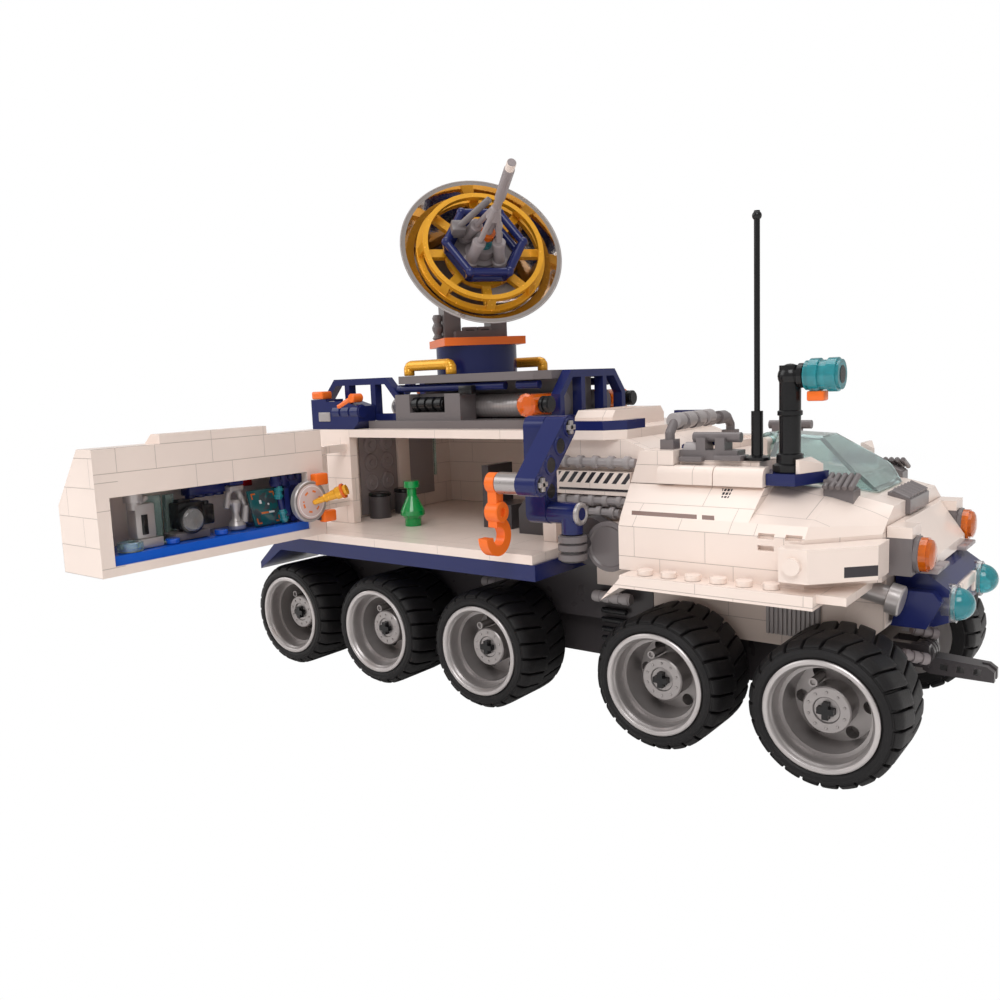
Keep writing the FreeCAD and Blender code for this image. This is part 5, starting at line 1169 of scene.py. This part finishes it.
class RoverArm(bpy.types.Operator):
    """Set a ring round each hole along the arm's beams with a black disc of painted shade in it, its axle
    ends and its foot's rings
    """
    bl_idname = "rover.arm"
    bl_label = "Crane arm"

    def execute(self, context):
        shoulder_pin, hook_pin = joint_place("boom_lift"), joint_place("hook_swing")
        foot = Vector((0, shoulder_pin.y, low("arm_upright").z)) + mm(0, 0, 6.7)
        beams = (("boom", high("arm_boom").x, shoulder_pin, hook_pin, 4),
                 ("arm", high("arm_boom").x - BEAM_STEP, shoulder_pin, foot, 5))
        for body, face, start_at, end_at, count in beams:
            rings, hole_shades = [], []
            for i in range(1 if body == "arm" else 0, count):       # the arm's top hole is behind the boom
                centre = start_at.lerp(end_at, i / (count - 1))
                centre.x = face
                rings.append(lathe([(2.4, 0), (3.3, 0), (3.2, 0.3), (2.6, 0.35), (2.4, 0.1)],
                                   centre, AHEAD, 28, ring=True))
                # a thin black disc on the beam's face in each hole: painted shade of the hole's inside
                hole_shades.append(rod(centre, centre + mm(0.14, 0, 0), HOLE_R, 0.03))
            finished(rings, body + "_hole_rings", body, "navy_plastic")
            finished(hole_shades, body + "_holes", body, "black_plastic")
        ends = []
        for share in (0, 1):
            centre = shoulder_pin.lerp(hook_pin, share)
            centre.x = high("arm_boom").x
            ends += [brick(centre + mm(-0.1, -0.8, -2.2), centre + mm(1.1, 0.8, 2.2), 0.2),
                     brick(centre + mm(-0.1, -2.2, -0.8), centre + mm(1.1, 2.2, 0.8), 0.2)]
        finished(ends, "boom_axle_ends", "boom", "silver_parts")
        eye = Vector((low("arm_hook").x, hook_pin.y, hook_pin.z))
        loop = lathe([(1.5, 0), (3.2, 0), (3.5, 0.3), (3.5, 5.0), (3.2, 5.3), (1.5, 5.3)],
                     eye + mm(-0.6, 0, -9.6), AHEAD, 28, ring=True)
        finished([loop], "hook_loop", "hook", "orange_plastic")
        socket = Vector((joint_place("arm_slew").x, joint_place("arm_slew").y, high("arm_base").z))
        rings = [lathe([(4.0, 0), (4.9, 0.3), (4.9, 2.2), (4.0, 2.5)],
                       socket + mm(0, 0, z), UP, 28) for z in (-12.8, -9.6, -6.8)]
        disc = lathe([(7.9, 0), (8.5, 0.4), (8.5, 1.6), (7.2, 2.0), (6.6, 1.5), (3.2, 1.5)],
                     (0, 0, 0), (0, -1, 0), 40)
        disc.data.transform(at(socket.x + 9 * MM, low("arm_base").y + 13.4 * MM, socket.z - 9 * MM))
        finished(rings + [disc], "arm_foot_rings", "hull", "grey_plastic")
        outside = Vector((high("arm_upright").x, foot.y, foot.z)) - mm(0.6, 0, 0)
        finished([hoop(outside, AHEAD, 2.9, 1.0, 28, 10)], "arm_ring", "arm", "silver_parts")
        return {"FINISHED"}


# ---------------------------------------------------------------- cabin, middle, masts and nose
class RoverCabin(bpy.types.Operator):
    """Set the relief panels, the pillar, the bright strip, the seats' tops and the orange parts"""
    bl_idname = "rover.cabin"
    bl_label = "Cabin fittings"

    def execute(self, context):
        floor = spot("lab_fittings", "l0l")

        def inside(x, y, z):
            """Point in the cabin, in mm forward of its rear wall."""
            return floor + mm(-3.0, 0, 0) + mm(x, y, z)

        relief = [brick(inside(0, -26, 1), inside(0.8, -2.8, 37))]
        relief += [lathe([(4.0, 0), (3.9, 0.8), (3.2, 1.1), (2.9, 0.7), (1.4, 0.7), (1.2, 1.4)],
                         inside(0.7, y, z), AHEAD, 28) for y in (-19.6, -9.6) for z in (15, 24, 32)]
        relief.append(brick(inside(0, 5.6, 6), inside(0.7, 22.6, 37)))
        finished(relief, "cabin_relief", "hull", "hub_plastic")
        pillar = [brick(inside(0, -2.6, 0.2), inside(1.8, 5.0, 37.2))]
        finished(pillar, "cabin_pillar", "hull", "white_plastic")
        strip = [brick(inside(0.2, 23.0, 14), inside(0.9, 24.6, 31.6), 0.2)]
        finished(strip, "cabin_bright_strip", "hull", "pale_teal_glass")
        seats = [lathe([(4.2, 0), (4.9, 0.4), (4.9, 1.4), (4.4, 1.8)], floor + mm(4.8, y, 9.5), UP, 32)
                 for y in (-22, -6)]
        finished(seats, "cabin_seat_tops", "hull", "black_plastic")
        panels = [brick(inside(48, 34.0, 21), inside(58, 35.4, 27), 0.4),
                  brick(inside(60, 30.0, 6), inside(74, 32.0, 9), 0.4)]
        finished(panels, "cabin_orange_parts", "hull", "orange_plastic")
        return {"FINISHED"}


class RoverMasts(bpy.types.Operator):
    """Set the mast's collar and elbow, the searchlight's rings and the whip's foot and tip"""
    bl_idname = "rover.masts"
    bl_label = "Masts"

    def execute(self, context):
        mast = Vector((high("masts").x - 5 * MM, middle("masts").y, high("mast_plate").z))
        light = Vector((mast.x, mast.y, high("blue_lights").z - 4.4 * MM))
        whip = Vector((low("masts").x + 1.8 * MM, mast.y, low("masts").z))
        parts = [lathe([(4.9, 0), (5.1, 0.3), (5.1, 2.2), (4.0, 2.8), (4.0, 5.4), (3.3, 5.8)], mast, UP, 32),
                 lathe([(3.2, 0), (3.7, 0.3), (3.7, 1.5), (3.2, 1.8)], mast + mm(0, 0, 17), UP, 32),
                 ball(light, 3.7),
                 lathe([(3.3, 0), (3.7, 0.3), (3.7, 1.8), (3.2, 2.1)], light + mm(2.6, 0, 0), AHEAD, 32),
                 rod(light + mm(15.3, 0, 0), light + mm(15.55, 0, 0), 2.6, 0.05),
                 lathe([(3.6, 0), (4.0, 0.2), (4.0, 1.0), (2.2, 1.6)], whip + mm(0, 0, 3.3), UP, 28),
                 ball(Vector((whip.x, whip.y, high("masts").z)) - mm(0, 0, 1.5), 1.45)]
        finished(parts, "mast_joints", "hull", "black_plastic")
        rings = [lathe([(4.35, 0), (5.0, 0.3), (5.0, 3.0), (4.35, 3.3)],
                       light + mm(x, 0, 0), AHEAD, 36) for x in (6.2, 11.4)]
        finished(rings, "searchlight_rings", "hull", "teal_blue_lights")
        clip = brick(light + mm(5.6, -2.2, -7.6), light + mm(10.8, 2.2, -4.6), 0.5)
        finished([clip], "searchlight_clip", "hull", "orange_plastic")
        return {"FINISHED"}


RING_PITCH = 5.2            # mm between the rings of a pipe
PIPE_RUNS = (               # mm from the pipes' rear end and top: rear, front and height of each ringed run
    (-1.1, 29.8, -1.8), (-1.1, 26.4, -15.0), (2.4, 23.4, -19.2),
)


class RoverMiddle(bpy.types.Operator):
    """Set the pipes' rings, the roll bar's sleeves, and the rod and plates behind the canopy"""
    bl_idname = "rover.middle"
    bl_label = "Middle deck"

    def execute(self, context):
        rings = []
        for rear, front, z in PIPE_RUNS:
            count = int((front - rear) / RING_PITCH)
            for i in range(count):
                x = rear + (front - rear) * (i + 0.5) / count
                rings.append(lathe([(1.7, 0), (2.2, 0.25), (2.2, 1.9), (1.7, 2.15)],
                                   spot("side_pipes", "llh") + mm(x, 1.8, z), AHEAD, 24))
        finished(both_sides(joined(rings)), "pipe_rings", "hull", "pipe_plastic")
        deck_back = spot("deck_fittings", "l0h")
        sleeves = [rod(deck_back + mm(2.4, y, -1.6), deck_back + mm(2.4, y + 5.4, -1.6), 2.7)
                   for y in (-30.4, -22.6, -14.8, -7.0)]
        sleeves += [rod(deck_back + mm(8.2, -33.0, -10.8), deck_back + mm(14.4, -33.0, -10.8), 2.6)]
        finished(sleeves, "roll_bar_sleeves", "hull", "pipe_plastic")
        slanting = rod(deck_back + mm(4, -26, -11.0), deck_back + mm(20, -30, -7.2), 1.5)
        finished([slanting], "middle_navy_rod", "hull", "navy_plastic")
        plates = [brick(deck_back + mm(8, -38.4, -14.2), deck_back + mm(16, -31.4, -12.6)),
                  brick(deck_back + mm(20, -38.4, -13.6), deck_back + mm(29, -31.4, -12.0))]
        finished(plates, "middle_plates", "hull", "grey_plastic")
        return {"FINISHED"}


class RoverNose(bpy.types.Operator):
    """Set the lamps' bezels, the light tubes, the small pieces round the bumper and the claw's knuckle"""
    bl_idname = "rover.nose"
    bl_label = "Nose and bumper"

    def execute(self, context):
        lamp = spot("lamp_blocks", "l0h") + mm(6.8, -29.4, -5.1)
        bezel = lathe([(4.6, 0), (5.4, 0.1), (5.4, 1.2), (4.9, 1.5), (4.6, 1.2)], lamp, AHEAD, 40, ring=True)
        finished(both_sides(bezel), "lamp_bezels", "hull", "grey_plastic")
        facets = lathe([(4.5, 0), (4.4, 0.9), (3.3, 1.5), (1.6, 1.8)],
                       (high("orange_lamps").x, lamp.y, lamp.z), AHEAD, 12)
        finished(both_sides(facets), "lamp_facets", "hull", "orange_glass", 20)
        dome = Vector((high("blue_lights").x - 9.6 * MM, 19 * MM, low("blue_lights").z + 4.8 * MM))
        tube = lathe([(5.0, 0), (5.7, 0.1), (5.7, 3.6), (5.4, 3.8), (5.0, 3.6)],
                     dome + mm(1.2, 0, 0), AHEAD, 40, ring=True)
        finished(both_sides(tube), "light_tubes", "hull", "clear_glass")
        front = spot("bumper", "h0h")
        strips = [brick(front + mm(-9.4, y, 0.1), front + mm(-2.4, y + 7.4, 1.4))
                  for y in (-27.6, -19.6, 12.2, 20.2)]
        finished(strips, "bumper_tiles", "hull", "hub_plastic")
        bracket = [brick(front + mm(-3.2, right, foot), front + mm(0.9, left, -5.6), 0.4)
                   for right, left, foot in ((-9.0, 9.0, -9.0), (-11.6, -8.8, -12.0), (8.8, 11.6, -12.0))]
        finished(bracket, "bumper_bracket", "hull", "white_plastic")
        link = spot("bumper", "l0h") + mm(0, -34, 0)
        tow = [rod(link + mm(-7.0, 0, -4.4), link + mm(1.0, 0, -6.2), 3.0),
               lathe([(4.0, 0), (4.6, 0.3), (4.6, 3.6), (4.0, 4.0)], link + mm(0.6, 0, -6.4),
                     (0.97, 0, -0.22), 32)]
        finished(tow, "tow_connector", "hull", "silver_parts")
        pins = [ribbed(link + mm(0.4, y, z), link + mm(7.0, y + 5.0, z - 2.0), 1.9, 3, 0.4, 0.7)
                for y, z in ((17.0, -28.0), (29.0, -23.0))]
        finished(pins, "bumper_pins", "hull", "hub_plastic")
        block = spot("bumper", "l0h") + mm(-19.1, 0, 22.7)
        fingers = [rod(block + mm(x, -33.4, 2.0), block + mm(x, -25.6, 5.2), 0.85)
                   for x in (0.9, 2.8, 4.7, 6.6, 8.5)]
        finished(both_sides(joined(fingers)), "slope_fingers", "hull", "grey_plastic")
        knuckle = spot("claw", "lml")
        knuckle = ribbed(knuckle + mm(3, -4, 6.4), knuckle + mm(3, 4, 6.4), 3.5, 3, 0.4, 0.7)
        finished([knuckle], "claw_knuckle", "claw", "dark_plastic")
        return {"FINISHED"}


class RoverUnderside(bpy.types.Operator):
    """Set the pipes and plates that show between the wheels"""
    bl_idname = "rover.underside"
    bl_label = "Underside"

    def execute(self, context):
        edge = spot("chassis_spine", "mlh")
        whites = [brick(edge + mm(x, -1.4, -12.0), edge + mm(x + 15, 1.0, -5.6)) for x in (19, -31)]
        finished(both_sides(*whites), "underside_white_plates", "hull", "white_plastic")
        pipes = [ribbed(edge + mm(x, -3.6, -15.6), edge + mm(x + 15, -3.6, -15.6), 2.1, 4, 0.3, 0.7)
                 for x in (19, -31)]
        finished(both_sides(*pipes), "underside_pipes", "hull", "pipe_plastic")
        rungs = [rod(edge + mm(x, -1.6, -21 - 3.4 * i), edge + mm(x + 10, -1.6, -21 - 3.4 * i), 1.0)
                 for x in (21, -29) for i in range(4)]
        finished(both_sides(*rungs), "underside_rungs", "hull", "black_plastic")
        return {"FINISHED"}


# ---------------------------------------------------------------- stage
LIGHTS = (                  # name, place in m, size in m, power in W
    ("key_light", (0.55, -1.15, 1.25), 0.9, 12.0),
    ("side_light", (-1.2, -0.7, 0.8), 1.0, 6.5),
    ("top_light", (-0.1, 0.25, 1.5), 1.2, 9.0),
)
LIGHTS_AIM = (0, 0, 0.07)               # m
WORLD_LEVEL = 0.50
FLOOR_SIZE, FLOOR_PLACE = 9, (-0.6, 0.8, -0.02 * MM)    # m
SHADOW_REACH, SHADOW = 0.55, 0.45       # m round the origin where the floor shows shadows; how strongly
EYE = (0.19105, -0.30426, 0.11755)      # m: the camera's place
EYE_TURN = (37.682, 7.55, -2.225)       # degrees: round from the right side, above the level, roll
EYE_LENS = 32.6                         # mm on a 36 mm sensor


class RoverStage(bpy.types.Operator):
    """Set the pale floor, the soft studio lights and the camera"""
    bl_idname = "rover.stage"
    bl_label = "Stage"

    def execute(self, context):
        start()
        bpy.ops.mesh.primitive_plane_add(size=FLOOR_SIZE, location=FLOOR_PLACE)
        floor = bpy.context.object
        floor.name = "studio_floor"
        floor.data.materials.append(self.backdrop())
        self.sky(context)
        for name, place, size, power in LIGHTS:
            start()
            aim = Vector(LIGHTS_AIM) - Vector(place)
            bpy.ops.object.light_add(type="AREA", location=place,
                                     rotation=aim.to_track_quat("-Z", "Y").to_euler())
            lamp = bpy.context.object
            lamp.name = name
            lamp.data.size = size
            lamp.data.energy = power
        self.camera(context)
        context.scene.view_settings.view_transform = "Standard"
        return {"FINISHED"}

    def backdrop(self):
        """Pale floor that looks nearly white to the camera and keeps the shadow."""
        finish = Finish("studio_floor")
        seen = finish.node("ShaderNodeLightPath", {}, {})
        paper = finish.noise(8, 3)
        finish.set(base=finish.mix(paper, (0.90, 0.89, 0.88), (0.93, 0.92, 0.91)), rough=paper * 0.1 + 0.75)
        glow = finish.node("ShaderNodeEmission", {}, {"Color": (1, 1, 1, 1), "Strength": 1.0})
        far = 1 - (finish.x * finish.x + finish.y * finish.y).maths("SQRT") / SHADOW_REACH
        near = 1 - far.either(0.0) * SHADOW
        blend = finish.node("ShaderNodeMixShader", {}, {0: seen * near, 1: finish.shader.outputs[0], 2: glow})
        output = finish.tree.nodes["Material Output"]
        finish.feed(output.inputs["Surface"], blend)
        return finish.material

    def sky(self, context):
        """World light at a plain level, white behind the object."""
        world = bpy.data.worlds.new("studio_world")
        world.use_nodes = True
        context.scene.world = world
        nodes = world.node_tree.nodes
        dim, white = nodes["Background"], nodes.new("ShaderNodeBackground")
        for node, tint, level in ((dim, (1.0, 0.97, 0.95, 1), WORLD_LEVEL), (white, (1, 1, 1, 1), 1.0)):
            node.inputs["Color"].default_value = tint
            node.inputs["Strength"].default_value = level
        path = nodes.new("ShaderNodeLightPath")
        through = nodes.new("ShaderNodeMath")
        through.operation = "MAXIMUM"
        blend = nodes.new("ShaderNodeMixShader")
        for out, socket in ((path.outputs["Is Camera Ray"], through.inputs[0]),
                            (path.outputs["Is Transmission Ray"], through.inputs[1]),
                            (through.outputs[0], blend.inputs[0]), (dim.outputs[0], blend.inputs[1]),
                            (white.outputs[0], blend.inputs[2]),
                            (blend.outputs[0], nodes["World Output"].inputs["Surface"])):
            world.node_tree.links.new(out, socket)

    def camera(self, context):
        azimuth, height, roll = (math.radians(angle) for angle in EYE_TURN)
        back = Vector((math.sin(azimuth) * math.cos(height), -math.cos(azimuth) * math.cos(height),
                       math.sin(height)))
        right = Vector((math.cos(azimuth), math.sin(azimuth), 0))
        up = back.cross(right)
        across = right * math.cos(roll) + up * math.sin(roll)
        over = up * math.cos(roll) - right * math.sin(roll)
        turn = Matrix((across, over, back)).transposed()
        start()
        bpy.ops.object.camera_add(location=EYE, rotation=turn.to_euler())
        eye = bpy.context.object
        eye.name = "studio_camera"
        eye.data.sensor_width = 36
        eye.data.lens = EYE_LENS
        eye.data.clip_start = 0.01
        context.scene.camera = eye


# ---------------------------------------------------------------- panel and running order
class RoverPanel(bpy.types.Panel):
    """Lists the rover's settings and pieces"""
    bl_idname = "VIEW3D_PT_rover"
    bl_label = "Planetary rover"
    bl_space_type = "VIEW_3D"
    bl_region_type = "UI"
    bl_category = "Rover"

    def draw(self, context):
        for settings in (context.scene.rover_colours, context.scene.rover_sizes):
            column = self.layout.column()
            for name in settings.__annotations__:
                column.prop(settings, name)
        for operator in OPERATORS:
            self.layout.operator(operator.bl_idname)


SETTINGS = {"rover_colours": RoverColours, "rover_sizes": RoverSizes}
OPERATORS = (RoverFinishes, RoverTyres, RoverRims, RoverDoorTools, RoverDoorScreen, RoverDish, RoverRoof,
             RoverArm, RoverCabin, RoverMasts, RoverMiddle, RoverNose, RoverUnderside, RoverStage)


def register():
    for name, settings in SETTINGS.items():
        bpy.utils.register_class(settings)
        setattr(bpy.types.Scene, name, bpy.props.PointerProperty(type=settings))
    for operator in OPERATORS:
        bpy.utils.register_class(operator)
    bpy.utils.register_class(RoverPanel)


def unregister():
    bpy.utils.unregister_class(RoverPanel)
    for operator in reversed(OPERATORS):
        bpy.utils.unregister_class(operator)
    for name, settings in SETTINGS.items():
        delattr(bpy.types.Scene, name)
        bpy.utils.unregister_class(settings)


def main():
    register()
    for operator in OPERATORS:
        group, action = operator.bl_idname.split(".")
        getattr(getattr(bpy.ops, group), action)()


if __name__ == "__main__":
    main()
